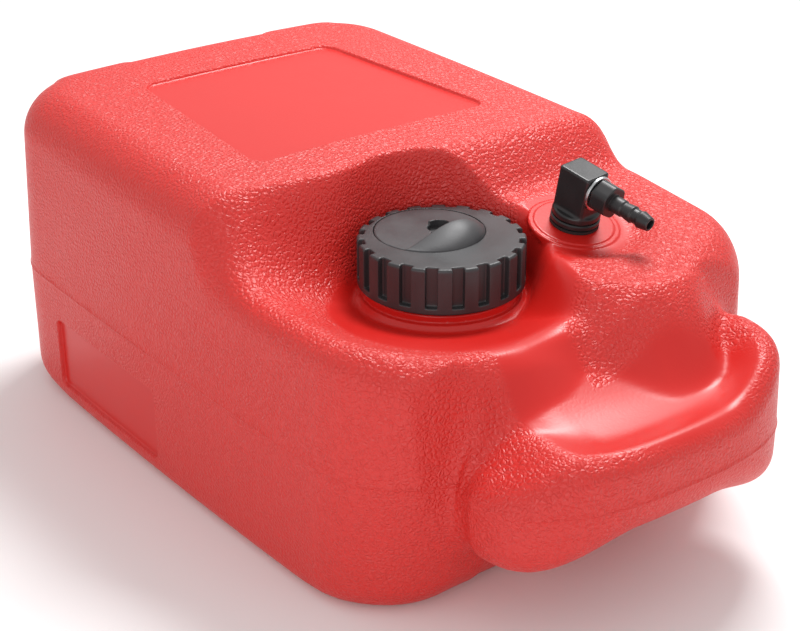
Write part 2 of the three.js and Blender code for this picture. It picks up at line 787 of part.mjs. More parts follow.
// The dial's seal sits in the middle of the cap's floor under the dial.
const dialSealHeight = -(dialThickness + gap + capTopThickness) / 2;

// Split ring that keeps the dial's stem in the cap.
function ventDialClip() {
  const top = -capTopThickness - gap;
  const bottom = top - dialClipThickness;
  const inner = dialStemRadius - sealGrooveDepth + gap;
  const whole = ring(inner + dialClipWidth, inner, bottom, top, finePartSteps);
  const slit = block(dialClipWidth, 2 * dialStemRadius, 2 * overrun, 0, dialStemRadius, top);
  return whole.subtract(slit);
}

// Wedge grip over the dial's front segment: a ridge along the chord that falls to the rim.
function dialGrip() {
  const halfChord = Math.sqrt(dialRadius ** 2 - gripChordOffset ** 2);
  const columns = 12;
  const rows = 4;
  const base = -dialThickness / 2;
  const ridge = (share) => gripHeight * Math.sin(Math.PI * Math.pow(share, 1.5)) ** 0.8;
  const grid = (height) => {
    const points = [];
    for (let c = 0; c <= columns; c++) {
      const share = c / columns;
      const x = blend(-halfChord, halfChord, share);
      const rimY = -Math.sqrt(Math.max(0, dialRadius ** 2 - x ** 2));
      for (let r = 0; r <= rows; r++) {
        const fall = r / rows;
        points.push([x, blend(-gripChordOffset, rimY, fall), height(share, fall)]);
      }
    }
    return points;
  };
  const upper = grid((share, fall) => ridge(share) * (1 - fall) ** 0.85);
  const lower = grid(() => base);
  const stride = rows + 1;
  const lowFirst = upper.length;
  const index = [];
  for (let c = 0; c < columns; c++) {
    for (let r = 0; r < rows; r++) {
      const a = c * stride + r;
      index.push(a, a + 1, a + stride + 1, a, a + stride + 1, a + stride);
      index.push(lowFirst + a, lowFirst + a + stride + 1, lowFirst + a + 1,
        lowFirst + a, lowFirst + a + stride, lowFirst + a + stride + 1);
    }
  }
  const border = [];
  for (let c = 0; c < columns; c++) border.push([c * stride, (c + 1) * stride]);
  for (let r = 0; r < rows; r++) border.push([columns * stride + r, columns * stride + r + 1]);
  for (let c = columns; c > 0; c--) border.push([c * stride + rows, (c - 1) * stride + rows]);
  for (let r = rows; r > 0; r--) border.push([r, r - 1]);
  for (const [a, b] of border) index.push(a, b, lowFirst + b, a, lowFirst + b, lowFirst + a);
  const geometry = new THREE.BufferGeometry();
  geometry.setAttribute("position", new THREE.Float32BufferAttribute([...upper, ...lower].flat(), 3));
  geometry.setIndex(index);
  return solid(geometry);
}

// The dial, with its top face at height zero and its axis on the origin.
function ventDial() {
  const clipTop = -capTopThickness - gap;
  const clipBottom = clipTop - dialClipThickness;
  const clipInner = dialStemRadius - sealGrooveDepth;
  const sealBottom = dialSealHeight - sealGrooveDepth / 2 - gap / 2;
  const sealTop = dialSealHeight + sealGrooveDepth / 2 + gap / 2;
  const stem = [
    [0, -dialStemLength],
    [dialStemRadius - capEdgeRound, -dialStemLength],
    [dialStemRadius, capEdgeRound - dialStemLength],
    [dialStemRadius, clipBottom - gap],
    [clipInner, clipBottom - gap],
    [clipInner, clipTop + gap],
    [dialStemRadius, clipTop + gap],
    [dialStemRadius, sealBottom],
    [clipInner, sealBottom],
    [clipInner, sealTop],
    [dialStemRadius, sealTop],
    [dialStemRadius, -dialThickness],
    [dialRadius, -dialThickness],
    [dialRadius, -capEdgeRound / 2],
    [dialRadius - capEdgeRound / 2, 0],
    [0, 0],
  ];
  let dial = turned(stem, neckSteps).add(dialGrip());
  const pocketY = -gripChordOffset + pocketSmallRadius + gap;
  const lobes = disc(pocketSmallRadius, -pocketDepth, overrun, 18);
  const small = moved(lobes, new THREE.Matrix4().makeTranslation(-pocketSmallRadius / 2, pocketY, 0));
  const big = moved(disc(pocketBigRadius, -pocketDepth, overrun, 20),
    new THREE.Matrix4().makeTranslation(pocketSmallRadius / 2, pocketY + pocketBigRadius, 0));
  const lipShape = new THREE.Shape();
  lipShape.absarc(0, 0, pocketBigRadius + pocketLipWidth, -Math.PI / 3, Math.PI / 1.6, false);
  lipShape.absarc(0, 0, pocketBigRadius, Math.PI / 1.6, -Math.PI / 3, true);
  const lip = new THREE.ExtrudeGeometry(lipShape, { depth: pocketLipHeight + gap, bevelEnabled: false, curveSegments: 10 });
  lip.translate(pocketSmallRadius / 2, pocketY + pocketBigRadius, -gap);
  dial = dial.add(solid(lip)).subtract(small).subtract(big);
  const vent = new THREE.CylinderGeometry(ventHoleRadius, ventHoleRadius, 4 * overrun, 12)
    .rotateX(Math.PI / 2).translate(ventHoleOffset, 0, 0);
  return dial.subtract(solid(vent));
}

// Bush with its flange on the seal, spigot above and thread and tube socket below.
const bushFlangeBottom = gap + sealThickness + gap;
const bushFlangeTop = bushFlangeBottom + bushFlangeThickness;
const spigotTop = bushFlangeTop + spigotHeight;
const bushBottom = -bushTubeLength;
const elbowBottom = bushFlangeTop + gap;
const elbowSealHeight = bushFlangeTop + spigotHeight / 2;

function outletBush() {
  const grooveBottom = elbowSealHeight - sealGrooveDepth / 2 - gap / 2;
  const grooveTop = elbowSealHeight + sealGrooveDepth / 2 + gap / 2;
  return turned([
    [bushBoreRadius, bushBottom + tubeSocketDepth],
    [tubeRadius + gap, bushBottom + tubeSocketDepth],
    [tubeRadius + gap, bushBottom],
    [bushTubeRadius - capEdgeRound, bushBottom],
    [bushTubeRadius, bushBottom + capEdgeRound],
    [bushTubeRadius, bushFlangeBottom],
    [bushFlangeRadius - capEdgeRound / 2, bushFlangeBottom],
    [bushFlangeRadius, bushFlangeBottom + capEdgeRound / 2],
    [bushFlangeRadius, bushFlangeTop - capEdgeRound / 2],
    [bushFlangeRadius - capEdgeRound / 2, bushFlangeTop],
    [spigotRadius, bushFlangeTop],
    [spigotRadius, grooveBottom],
    [spigotRadius - sealGrooveDepth, grooveBottom],
    [spigotRadius - sealGrooveDepth, grooveTop],
    [spigotRadius, grooveTop],
    [spigotRadius, spigotTop - capEdgeRound / 2],
    [spigotRadius - capEdgeRound / 2, spigotTop],
    [bushBoreRadius - 2 * gap, spigotTop],
    [bushBoreRadius - 2 * gap, bushBottom + tubeSocketDepth + gap],
  ], finePartSteps);
}

// Ring of round section that fills a groove in a stem of the given radius.
function grooveSeal(stemRadius, height, steps) {
  const halfThickness = (sealGrooveDepth - gap) / 2;
  const radius = stemRadius - halfThickness;
  const sides = 6;
  const profile = [];
  for (let i = 0; i < sides; i++) {
    const angle = (2 * Math.PI * (i + 0.5)) / sides;
    profile.push([radius + halfThickness * Math.cos(angle), height + halfThickness * Math.sin(angle)]);
  }
  return turned(profile, steps);
}

function hexagon(flat, bottom, top) {
  return solid(new THREE.CylinderGeometry(flat / Math.cos(Math.PI / 6), flat / Math.cos(Math.PI / 6), top - bottom, 6)
    .rotateX(Math.PI / 2).translate(0, 0, (top + bottom) / 2));
}

function lockNut() {
  const top = -outletPadThickness - gap;
  return hexagon(lockNutFlat, top - lockNutHeight, top).subtract(disc(bushTubeRadius + gap, top - lockNutHeight - overrun, top + overrun, finePartSteps));
}

const barbAxis = elbowBottom + barbAxisHeight;

// Elbow body standing on the bush, its outlet along -Y.
function outletElbow() {
  const outline = new THREE.Shape();
  const w = elbowHalfWidth - elbowEdgeRound;
  const l = elbowHalfLength - elbowEdgeRound;
  outline.absarc(w, l, elbowEdgeRound, 0, Math.PI / 2, false);
  outline.absarc(-w, l, elbowEdgeRound, Math.PI / 2, Math.PI, false);
  outline.absarc(-w, -l, elbowEdgeRound, Math.PI, Math.PI * 1.5, false);
  outline.absarc(w, -l, elbowEdgeRound, Math.PI * 1.5, Math.PI * 2, false);
  const body = new THREE.ExtrudeGeometry(outline, {
    depth: elbowHeight - elbowEdgeRound,
    bevelEnabled: true,
    bevelThickness: elbowEdgeRound / 2,
    bevelSize: elbowEdgeRound / 2,
    bevelOffset: -elbowEdgeRound / 2,
    bevelSegments: 2,
    curveSegments: 4,
  }).translate(0, 0, elbowBottom + elbowEdgeRound / 2);
  const foot = turned([
    [0, elbowBottom],
    [bushFlangeRadius - 2 * gap, elbowBottom],
    [bushFlangeRadius - 2 * gap, elbowBottom + sealThickness],
    [elbowHalfWidth, elbowBottom + 2 * sealThickness],
    [0, elbowBottom + 2 * sealThickness],
  ], finePartSteps);
  const socket = disc(spigotRadius + gap, elbowBottom - overrun, elbowBottom + elbowSocketDepth, finePartSteps);
  const rising = disc(barbBoreRadius, elbowBottom, barbAxis, 16);
  const along = new THREE.CylinderGeometry(barbBoreRadius, barbBoreRadius, elbowHalfLength, 16)
    .translate(0, -elbowHalfLength / 2, 0).translate(0, 0, barbAxis);
  const thread = new THREE.CylinderGeometry(barbStubRadius + gap, barbStubRadius + gap, barbStubLength + overrun, finePartSteps)
    .translate(0, -elbowHalfLength + barbStubLength / 2 - overrun / 2, barbAxis);
  return solid(body).add(foot).subtract(socket).subtract(rising).subtract(solid(along)).subtract(solid(thread));
}

const washerBack = -elbowHalfLength - gap;
const hexBack = washerBack - washerThickness - gap;
const hexFront = hexBack - hexLength;
const tailTip = hexFront - tailLength;

// Turned and hexagonal barb, with its axis along -Y at the outlet's height.
function hoseBarb() {
  const edge = tailBarbRadius - tailTipRadius;
  const stubEnd = hexBack + washerThickness + barbStubLength - gap;
  const turnedPart = turned([
    [barbBoreRadius, -stubEnd],
    [barbStubRadius, -stubEnd],
    [barbStubRadius, -hexBack],
    [barbStubRadius, -hexFront - gap],
    [tailRootRadius, -hexFront],
    [tailRootRadius, blend(-hexFront, -tailTip, 0.28)],
    [tailRootRadius - edge / 3, blend(-hexFront, -tailTip, 0.3)],
    [tailBarbRadius, blend(-hexFront, -tailTip, 0.55)],
    [tailRootRadius - edge / 2, blend(-hexFront, -tailTip, 0.57)],
    [tailRootRadius - edge / 2, blend(-hexFront, -tailTip, 0.7)],
    [tailBarbRadius - edge / 3, blend(-hexFront, -tailTip, 0.76)],
    [tailTipRadius, -tailTip - gap],
    [tailTipRadius - gap, -tailTip],
    [barbBoreRadius, -tailTip],
  ], finePartSteps);
  const nut = hexagon(hexFlat, -hexBack, -hexFront)
    .subtract(disc(barbBoreRadius + gap, -hexBack - overrun, -hexFront + overrun, finePartSteps));
  return moved(turnedPart.add(nut), new THREE.Matrix4().makeTranslation(0, 0, barbAxis)
    .multiply(new THREE.Matrix4().makeRotationX(Math.PI / 2)));
}

function barbWasher() {
  const made = ring(washerRadius, barbStubRadius + gap, -washerBack, -washerBack + washerThickness, finePartSteps);
  return moved(made, new THREE.Matrix4().makeTranslation(0, 0, barbAxis)
    .multiply(new THREE.Matrix4().makeRotationX(Math.PI / 2)));
}

// Pickup tube and strainer, on the outlet's axis.
const strainerBottom = -(outletPadHeight - wallThickness - strainerFloorGap - strainerRadius * Math.sin(outletTilt))
  / Math.cos(outletTilt);
const strainerTop = strainerBottom + strainerLength;
const tubeTop = bushBottom + tubeSocketDepth - gap;
const tubeBottom = strainerTop - tubeSocketDepth;

function strainerCage() {
  const inner = strainerRadius - strainerWall;
  const neckInner = tubeRadius + gap;
  const plugTop = strainerBottom + plugThickness;
  let cage = turned([
    [inner, plugTop + gap],
    [strainerRadius, plugTop + gap],
    [strainerRadius, strainerTop],
    [neckInner, strainerTop],
    [neckInner, strainerTop - strainerWall * 2],
    [inner, strainerTop - strainerWall * 2],
  ], finePartSteps);
  const slotHeight = strainerLength - plugThickness - tubeSocketDepth;
  for (let i = 0; i < strainerSlotCount; i++) {
    const slot = new THREE.BoxGeometry(strainerRadius, strainerSlotWidth, slotHeight)
      .translate(strainerRadius, 0, plugTop + slotHeight / 2 + strainerWall * 2)
      .rotateZ((2 * Math.PI * i) / strainerSlotCount);
    cage = cage.subtract(solid(slot));
  }
  return cage;
}

function strainerScreen() {
  const outer = strainerRadius - strainerWall - gap;
  return ring(outer, outer - screenWall, strainerBottom + plugThickness + gap, strainerTop - strainerWall * 2 - gap, finePartSteps);
}

function strainerPlug() {
  const bottom = strainerBottom;
  const step = bottom + plugThickness;
  return turned([
    [0, bottom],
    [strainerRadius - gap, bottom],
    [strainerRadius, bottom + gap],
    [strainerRadius, step],
    [0, step],
  ], finePartSteps);
}

const tankRed = { color: 0xd9322c, roughness: 0.5, metalness: 0 };
const capGrey = { color: 0x3f3d40, roughness: 0.55, metalness: 0 };
const fittingBlack = { color: 0x201d1e, roughness: 0.4, metalness: 0 };
const sealRubber = { color: 0x151515, roughness: 0.8, metalness: 0 };
const tubeNatural = { color: 0xcfcabb, roughness: 0.45, metalness: 0 };
const screenSteel = { color: 0xa9abad, roughness: 0.4, metalness: 0.9 };

function piece(name, made, look) {
  const mesh = new THREE.Mesh(geometryOf(made), new THREE.MeshStandardMaterial(look));
  mesh.name = name;
  return mesh;
}

const tank = new THREE.Group();
tank.add(piece("tank_shell", tankShell(), tankRed));

const filler = new THREE.Group();
filler.position.set(fillerX, fillerY, 0);
filler.add(piece("cap_shell", capShell(), capGrey));
const gasket = ring(capSkirtInner - gap, neckBoreRadius - gasketInset, gasketTop - gasketThickness, gasketTop);
filler.add(piece("cap_gasket", gasket, sealRubber));
const dialGroup = new THREE.Group();
dialGroup.position.set(0, dialOffsetY, capTopHeight);
dialGroup.add(piece("vent_dial", ventDial(), capGrey));
dialGroup.add(piece("vent_dial_seal", grooveSeal(dialStemRadius, dialSealHeight, finePartSteps), sealRubber));
dialGroup.add(piece("vent_dial_clip", ventDialClip(), screenSteel));
filler.add(dialGroup);
tank.add(filler);

const outlet = new THREE.Group();
outlet.applyMatrix4(outletFrame);
outlet.add(piece("outlet_bush", outletBush(), fittingBlack));
outlet.add(piece("bush_seal", ring(bushFlangeRadius, bushTubeRadius + gap, gap, gap + sealThickness, finePartSteps), sealRubber));
outlet.add(piece("bush_lock_nut", lockNut(), fittingBlack));
outlet.add(piece("elbow_seal", grooveSeal(spigotRadius, elbowSealHeight, finePartSteps), sealRubber));
outlet.add(piece("pickup_tube", ring(tubeRadius, tubeBoreRadius, tubeBottom, tubeTop, 16), tubeNatural));
outlet.add(piece("strainer_cage", strainerCage(), fittingBlack));
outlet.add(piece("strainer_screen", strainerScreen(), screenSteel));
outlet.add(piece("strainer_plug", strainerPlug(), fittingBlack));
const swivel = new THREE.Group();
swivel.rotation.z = elbowTurn;
swivel.add(piece("outlet_elbow", outletElbow(), fittingBlack));
swivel.add(piece("barb_washer", barbWasher(), screenSteel));
swivel.add(piece("hose_barb", hoseBarb(), fittingBlack));
outlet.add(swivel);
tank.add(outlet);

// The origin is at the bottom centre of the whole part.
const bounds = new THREE.Box3().setFromObject(tank, true);
const middle = bounds.getCenter(new THREE.Vector3());
tank.position.set(-middle.x, -middle.y, -bounds.min.z);

export default tank;
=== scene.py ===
"""A red outboard fuel tank lying flat, with its screw cap, vent dial and swivelling outlet."""
import math

import bmesh
import bpy
import numpy as np
from mathutils import Matrix, Vector


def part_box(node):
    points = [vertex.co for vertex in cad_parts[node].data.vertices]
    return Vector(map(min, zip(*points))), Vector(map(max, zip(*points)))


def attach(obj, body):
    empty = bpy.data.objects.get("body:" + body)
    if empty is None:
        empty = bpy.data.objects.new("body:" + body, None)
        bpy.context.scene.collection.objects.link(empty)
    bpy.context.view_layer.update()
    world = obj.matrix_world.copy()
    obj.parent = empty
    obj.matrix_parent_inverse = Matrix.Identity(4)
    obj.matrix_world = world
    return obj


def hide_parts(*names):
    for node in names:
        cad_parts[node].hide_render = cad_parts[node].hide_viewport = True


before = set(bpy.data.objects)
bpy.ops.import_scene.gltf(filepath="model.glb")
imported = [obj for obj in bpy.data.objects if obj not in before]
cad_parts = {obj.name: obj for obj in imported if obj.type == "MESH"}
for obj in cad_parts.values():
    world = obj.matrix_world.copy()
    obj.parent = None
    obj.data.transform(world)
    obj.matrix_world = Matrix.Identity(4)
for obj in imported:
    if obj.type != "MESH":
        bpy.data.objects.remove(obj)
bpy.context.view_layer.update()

# All lengths below are in millimetres; meshes are scaled to metres as they are made.
MM = 0.001

# Tank body: plan, walls and top
body_half_width = 125.2
rear_wall_y = 205.8
rear_bow = 0.4
front_wall_y = -157.1
rear_corner_radius = 46.0
front_corner_radius = 51.0
side_bow = 2.3
side_bow_end = 42.0
parting_height = 73.0
bead_height = 0.45
bead_half_width = 0.8
upper_draft = math.tan(math.radians(1.9))
lower_draft = math.tan(math.radians(0.4))
front_lean = 9.6
front_lean_start_y = -60.0
top_height = 175.5
top_front_drop = 3.8
top_crown = 2.6
top_edge_radius = 24.0
bottom_edge_radius = 9.8
bottom_corner_radius = 18.0
bottom_front_radius = 22.0
bottom_side_share = (0.55, 0.95)
bottom_end_share = (0.6, 0.95)
step_middle_y = -36.7
step_slope = 1.1
shoulder_round = 8.0
step_foot_round = 6.0
step_half_run = 25.0
step_height = 27.5
deck_fall = 10.4
deck_rear_y = -36.0
deck_edge_radius = 16.4
lobe_edge_radius = 24.0
lobe_run = 9.0
edge_reach_share = 0.62
least_edge_height = 15.0
wall_thickness = 3.2
join_fillet = 15.0

# Standing feet on the rear wall
foot_inner_x = 50.0
foot_outer_x = 94.0
foot_bottom_height = 18.0
foot_top_height = 176.0
foot_proud = 2.2
foot_run = 6.0

# Filler: the dish round the cap, its collar and neck
filler_x = -19.0
filler_y = -64.0
dish_floor_height = 112.0
dish_inner_radius = 42.5
dish_open_slope = 0.42
dish_rear_slope = 9.0
dish_outlet_slope = 3.75
dish_round = 18.0
dish_start_rise = 2.4
dish_right_share = 0.3
dish_turn = (-0.6, 0.5)
outlet_facing = (0.5, 1)
dish_open_turn = math.radians(-127.2)
land_x = -45.3
land_y = -96.9
land_height = 130.0
land_inner_radius = 43.0
land_outer_radius = 72.0
land_reach_at_outlet = 60.0
collar_radius = 38.5
collar_height = 8.4
collar_fillet = 5.0
collar_ring_radius = 40.6
collar_ring_height = 4.2
neck_outer_radius = 33.6
neck_bore_radius = 30.4
neck_height = 24.2
neck_root_depth = 9.0
thread_pitch = 6.0
thread_turns = 1.25
thread_depth = 2.0
thread_root_width = 2.4

# Outlet pad
outlet_x = 48.5
outlet_y = -84.5
outlet_pad_height = 142.0
outlet_pad_rise = 1.2
outlet_pad_radius = 20.4
outlet_pad_step = 2.6
outlet_tilt = math.radians(11.5)
outlet_shelf_radius = 24.0
outlet_blend_radius = 46.0
outlet_hole_radius = 8.9

# Handle, its bowl and its hand pocket
handle_half_width = 87.0
handle_front_y = -220.4
handle_center_y = -166.2
handle_roundness = 2.7
handle_neck_half_width = 81.0
handle_root_depth = 16.0
web_height = 90.0
web_thickness = 5.0
web_slope = 0.55
web_flat_y = -183.0
web_bend = 24.0
web_left_slope_share = 0.3
web_left_x = -80.0
web_middle_x = -35.0
web_left_start_x = -30.0
web_left_end_x = -60.0
left_fall_x = -52.0
left_fall_height = 80.0
bowl_center_x = -28.0
bowl_center_y = -178.0
bowl_half_width = 72.0
bowl_half_length = 52.0
bowl_floor_share = 0.42
lobe_left_x = -10.0
lobe_middle_x = 25.0
lobe_right_x = 50.0
lobe_front_y = -190.0
lobe_rear_y = -152.0
bar_crest_height = 97.0
bar_root_height = 116.4
bar_under_height = 50.8
bar_root_under_height = 34.0
bar_depth = 31.0
bar_edge_radius = 11.0
bar_under_radius = 22.0
pocket_round = 5.0
pocket_edge_round = 4.0
pocket_draft_share = 0.045

# Recesses: the plain panel on the top and the plain plate on the left side
panel_rear_y = 146.0
panel_front_y = 14.0
panel_rear_half_width = 61.5
panel_front_half_width = 73.3
panel_corner_radius = 9.0
panel_depth = 1.7
plate_rear_y = 143.0
plate_front_y = 36.0
plate_bottom_height = 12.0
plate_top_height = 52.0
plate_corner_radius = 4.0
plate_depth = 2.4
recess_edge = 0.7

# Cap
cap_radius = 41.2
cap_height = 23.2
cap_top_thickness = 6.4
cap_edge_round = 1.4
cap_slot_count = 20
cap_slot_width = 5.8
cap_slot_depth = 3.4
cap_slot_edge = 0.45
cap_rim_height = 3.2
gasket_thickness = 1.8
thread_clearance = 0.8

# Vent dial in the cap
dial_radius = 27.2
dial_offset_y = 9.6
dial_thickness = 3.2
dial_edge_round = 0.6
dial_stem_radius = 10.0
dial_stem_length = 11.5
dial_groove_depth = 1.5
dial_clip_thickness = 1.6
grip_chord_offset = 12.0
grip_height = 8.0
grip_peak_power = 1.5
grip_swell_power = 0.8
grip_fall_power = 0.7
grip_bulge_power = 1.8
grip_edge_round = 0.7
pocket_big_radius = 5.8
pocket_small_radius = 4.3
pocket_depth = 2.6
pocket_x = 3.6
pocket_setback = 1.4
pocket_lip_height = 1.6
pocket_lip_width = 1.1
pocket_lip_turn = math.pi / 7
pocket_lip_half_angle = math.pi / 2.3

# Smooth parts of the skin: round the filler, the corridor to the web, and the web itself
smooth_middle_x = -32.0
smooth_middle_y = -88.0
smooth_radius = 58.0
corridor_half_width = 22.0
web_smooth_x = 6.0
web_smooth_y = -191.0
web_smooth_half_width = 60.0
web_smooth_half_length = 25.0

# Clearance between pieces, and how far cutting shapes reach past them
gap = 0.3
overrun = 4.0

# Outlet: bush, elbow and hose barb
seal_thickness = 1.4
bush_flange_radius = 12.4
bush_flange_thickness = 2.8
bush_tube_radius = 8.6
bush_tube_length = 17.0
bush_bore_radius = 3.6
tube_radius = 3.3
tube_socket_depth = 8.0
spigot_radius = 6.4
spigot_height = 10.0
seal_groove_depth = 1.5
elbow_turn = math.radians(7)
elbow_half_width = 8.0
elbow_half_length = 9.5
elbow_height = 25.6
elbow_side_round = 1.6
elbow_top_round = 1.1
elbow_socket_depth = 10.6
elbow_foot_height = 3.4
barb_axis_height = 17.0
barb_stub_radius = 4.9
barb_stub_length = 7.0
barb_bore_radius = 2.4
washer_radius = 9.0
washer_thickness = 1.5
hex_flat = 7.6
hex_length = 9.4
hex_edge_round = 0.5
tail_length = 23.0
tail_root_radius = 4.3
tail_barb_radius = 4.5
tail_tip_radius = 3.4
tail_steepness = 0.8
tail_place_shares = (0, 0.27, 0.30, 0.54, 0.57, 0.69, 0.76, 1)

# Sides of round shapes, cell sizes of the skins and how finely they follow the form
bore_sides = 96
hole_sides = 48
fitting_sides = 72
axis_radius = 0.01
tank_low = (-132, -228, -6)
tank_high = (132, 216, 184)
skin_margin = 1
barb_step_share = 0.7
least_slope = 0.2
least_fall = 0.001
least_total = 0.09
detail_reach = 1.5
tank_step = 2.0
room_step = 4.0
fine_step = 0.5

deck_rear_height = top_height - step_height
filler_rim_height = dish_floor_height + neck_height
thread_bottom = filler_rim_height - thread_turns * thread_pitch - thread_root_width
cap_top_height = filler_rim_height + gap + gasket_thickness + gap + cap_top_thickness
cap_bottom_height = cap_top_height - cap_height
body_middle_y = (rear_wall_y + front_wall_y) / 2
body_half_length = (rear_wall_y - front_wall_y) / 2

# The frame is centred on the whole part: the cap's place says by how much.
cap_low, cap_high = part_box("cap_shell")
frame_shift = np.array([
    (cap_low.x + cap_high.x) / (2 * MM) - filler_x,
    (cap_low.y + cap_high.y) / (2 * MM) - filler_y,
    0.0,
])


# Plain maths on arrays
def rise(start, end, value):
    """Smooth rise from 0 to 1 while value runs from start to end."""
    share = np.clip((value - start) / (end - start), 0.0, 1.0)
    return share * share * (3 - 2 * share)


def mix(first, second, share):
    return first + (second - first) * share


def soft_min(first, second, run):
    """The lower of two heights, with the corner between them rounded over a difference of run."""
    share = np.maximum(run - np.abs(first - second), 0) / run
    return np.minimum(first, second) - share * share * run / 4


def within(first, second, radius):
    """Distance field of what lies in both forms, with the edge between them rounded."""
    over_first = np.maximum(radius + first, 0)
    over_second = np.maximum(radius + second, 0)
    return np.minimum(-radius, np.maximum(first, second)) + np.hypot(over_first, over_second)


def joined(first, second, radius):
    """Distance field of two forms joined with a fillet."""
    return -within(-first, -second, radius)


def rounded_box(x, y, half_x, half_y, radius):
    """Distance to a rectangle with rounded corners."""
    over_x = np.abs(x) - half_x + radius
    over_y = np.abs(y) - half_y + radius
    inner = np.minimum(np.maximum(over_x, over_y), 0)
    return inner + np.hypot(np.maximum(over_x, 0), np.maximum(over_y, 0)) - radius


# Form of the tank
def handle_reach(x, y):
    """How far a plan point lies from the handle's middle, 1 being its rounded outline."""
    across = np.abs(x) / handle_half_width
    along = np.maximum(0, handle_center_y - y) / (handle_center_y - handle_front_y)
    return (across ** handle_roundness + along ** handle_roundness) ** (1 / handle_roundness)


def deck_and_top(x, y):
    """The lower deck, the step and the tall rear part's top."""
    deck_slope = deck_fall / (deck_rear_y - front_wall_y)
    deck = deck_rear_height + deck_slope * (y - deck_rear_y)
    top_slope = top_front_drop / (rear_wall_y - step_middle_y)
    top = top_height - top_slope * (rear_wall_y - y) - top_crown * (x / body_half_width) ** 2
    ramp = (deck + top) / 2 + step_slope * (y - step_middle_y)
    return -soft_min(-soft_min(ramp, top, shoulder_round), -deck, step_foot_round)


def outlet_shelf(x, y, height):
    """Carves the outlet's shelf into a height."""
    shelf = outlet_pad_height - outlet_pad_rise + math.tan(outlet_tilt) * (y - outlet_y)
    outlet_distance = np.hypot(x - outlet_x, y - outlet_y)
    return mix(shelf, height, rise(outlet_shelf_radius, outlet_blend_radius, outlet_distance))


def facing_outlet(x, y, from_x, from_y):
    """1 where a point lies from a centre straight toward the outlet, and -1 straight away from it."""
    apart_x = outlet_x - from_x
    apart_y = outlet_y - from_y
    toward = (x - from_x) * apart_x + (y - from_y) * apart_y
    distance = np.maximum(np.hypot(x - from_x, y - from_y), gap)
    return toward / (math.hypot(apart_x, apart_y) * distance)


def level_land(x, y, height):
    """Levels the land in front of the filler."""
    facing = rise(*outlet_facing, facing_outlet(x, y, land_x, land_y))
    reach = mix(land_outer_radius, land_reach_at_outlet, facing)
    return mix(land_height, height, rise(land_inner_radius, reach, np.hypot(x - land_x, y - land_y)))


def filler_dish(x, y, height):
    """Sinks the filler's dish, steep behind it and open toward the front left."""
    across = x - filler_x
    along = y - filler_y
    distance = np.maximum(np.hypot(across, along), gap)
    outward = (across * math.cos(dish_open_turn) + along * math.sin(dish_open_turn)) / distance
    outward = outward + dish_right_share * np.maximum(across, 0) / distance
    slope = dish_rear_slope * (dish_open_slope / dish_rear_slope) ** rise(*dish_turn, outward)
    facing = rise(*outlet_facing, facing_outlet(x, y, filler_x, filler_y))
    slope = mix(slope, dish_outlet_slope, facing)
    over = distance - dish_inner_radius
    land = dish_floor_height + slope * (over + np.hypot(over, dish_start_rise / slope)) / 2
    return soft_min(height, land, dish_round)


def upper_height(x, y):
    """Height of the upper surface over a plan point."""
    height = outlet_shelf(x, y, deck_and_top(x, y))
    across = (x - bowl_center_x) / bowl_half_width
    along = np.minimum(0, bowl_center_y - y) / bowl_half_length
    bowl_reach = np.hypot(across, along)
    crest = mix(bar_crest_height, bar_root_height, rise(handle_half_width / 3, handle_half_width, x))
    crest_reach = (handle_half_width - bar_edge_radius) / handle_half_width
    slope_reach = (handle_half_width - bar_depth - bar_edge_radius) / handle_half_width
    web_rise = web_slope * mix(web_left_slope_share, 1, rise(web_left_x, web_middle_x, x))
    past = y - web_flat_y
    web = web_height + web_rise * (past + np.hypot(past, web_bend)) / 2
    web = mix(web, np.maximum(web, bar_crest_height), rise(-web_left_start_x, -web_left_end_x, -x))
    bar = mix(web, crest, rise(slope_reach, crest_reach, handle_reach(x, y)))
    floor = mix(bar, web, rise(handle_center_y, handle_center_y + bar_depth, y))
    floor = mix(floor, left_fall_height, rise(-left_fall_x, handle_half_width, -x))
    deck_share = rise(bowl_floor_share, 1, bowl_reach)
    lobe = rise(lobe_left_x, lobe_middle_x, x)
    lobe = lobe * (1 - rise(lobe_right_x, handle_half_width - bar_edge_radius, x))
    lobe_start = mix(handle_center_y, lobe_front_y, lobe)
    lobe_end = mix(front_wall_y + bar_edge_radius, lobe_rear_y, lobe)
    deck_share = deck_share * rise(0, 1, (y - lobe_start) / (lobe_end - lobe_start))
    return filler_dish(x, y, level_land(x, y, mix(floor, height, deck_share)))


def panel_distance(x, y):
    """Distance in plan to the outline of the top's plain panel."""
    along = (y - panel_front_y) / (panel_rear_y - panel_front_y)
    half_width = mix(panel_front_half_width, panel_rear_half_width, along)
    half_length = (panel_rear_y - panel_front_y) / 2
    stretch = panel_front_half_width / half_width
    middle = (panel_rear_y + panel_front_y) / 2
    return rounded_box(x * stretch, y - middle, panel_front_half_width, half_length, panel_corner_radius)


def plate_distance(y, z):
    """Distance on the left wall to the outline of the plain plate."""
    half_length = (plate_rear_y - plate_front_y) / 2
    half_height = (plate_top_height - plate_bottom_height) / 2
    middle_y = (plate_rear_y + plate_front_y) / 2
    middle_z = (plate_top_height + plate_bottom_height) / 2
    return rounded_box(y - middle_y, z - middle_z, half_length, half_height, plate_corner_radius)


def sunk(distance):
    """1 inside an outline and 0 outside it, over the width of a moulded edge."""
    return 1 - rise(-recess_edge, recess_edge, distance)


def wall_draft(z):
    over = z - parting_height
    return np.where(over > 0, upper_draft * over, lower_draft * -over)


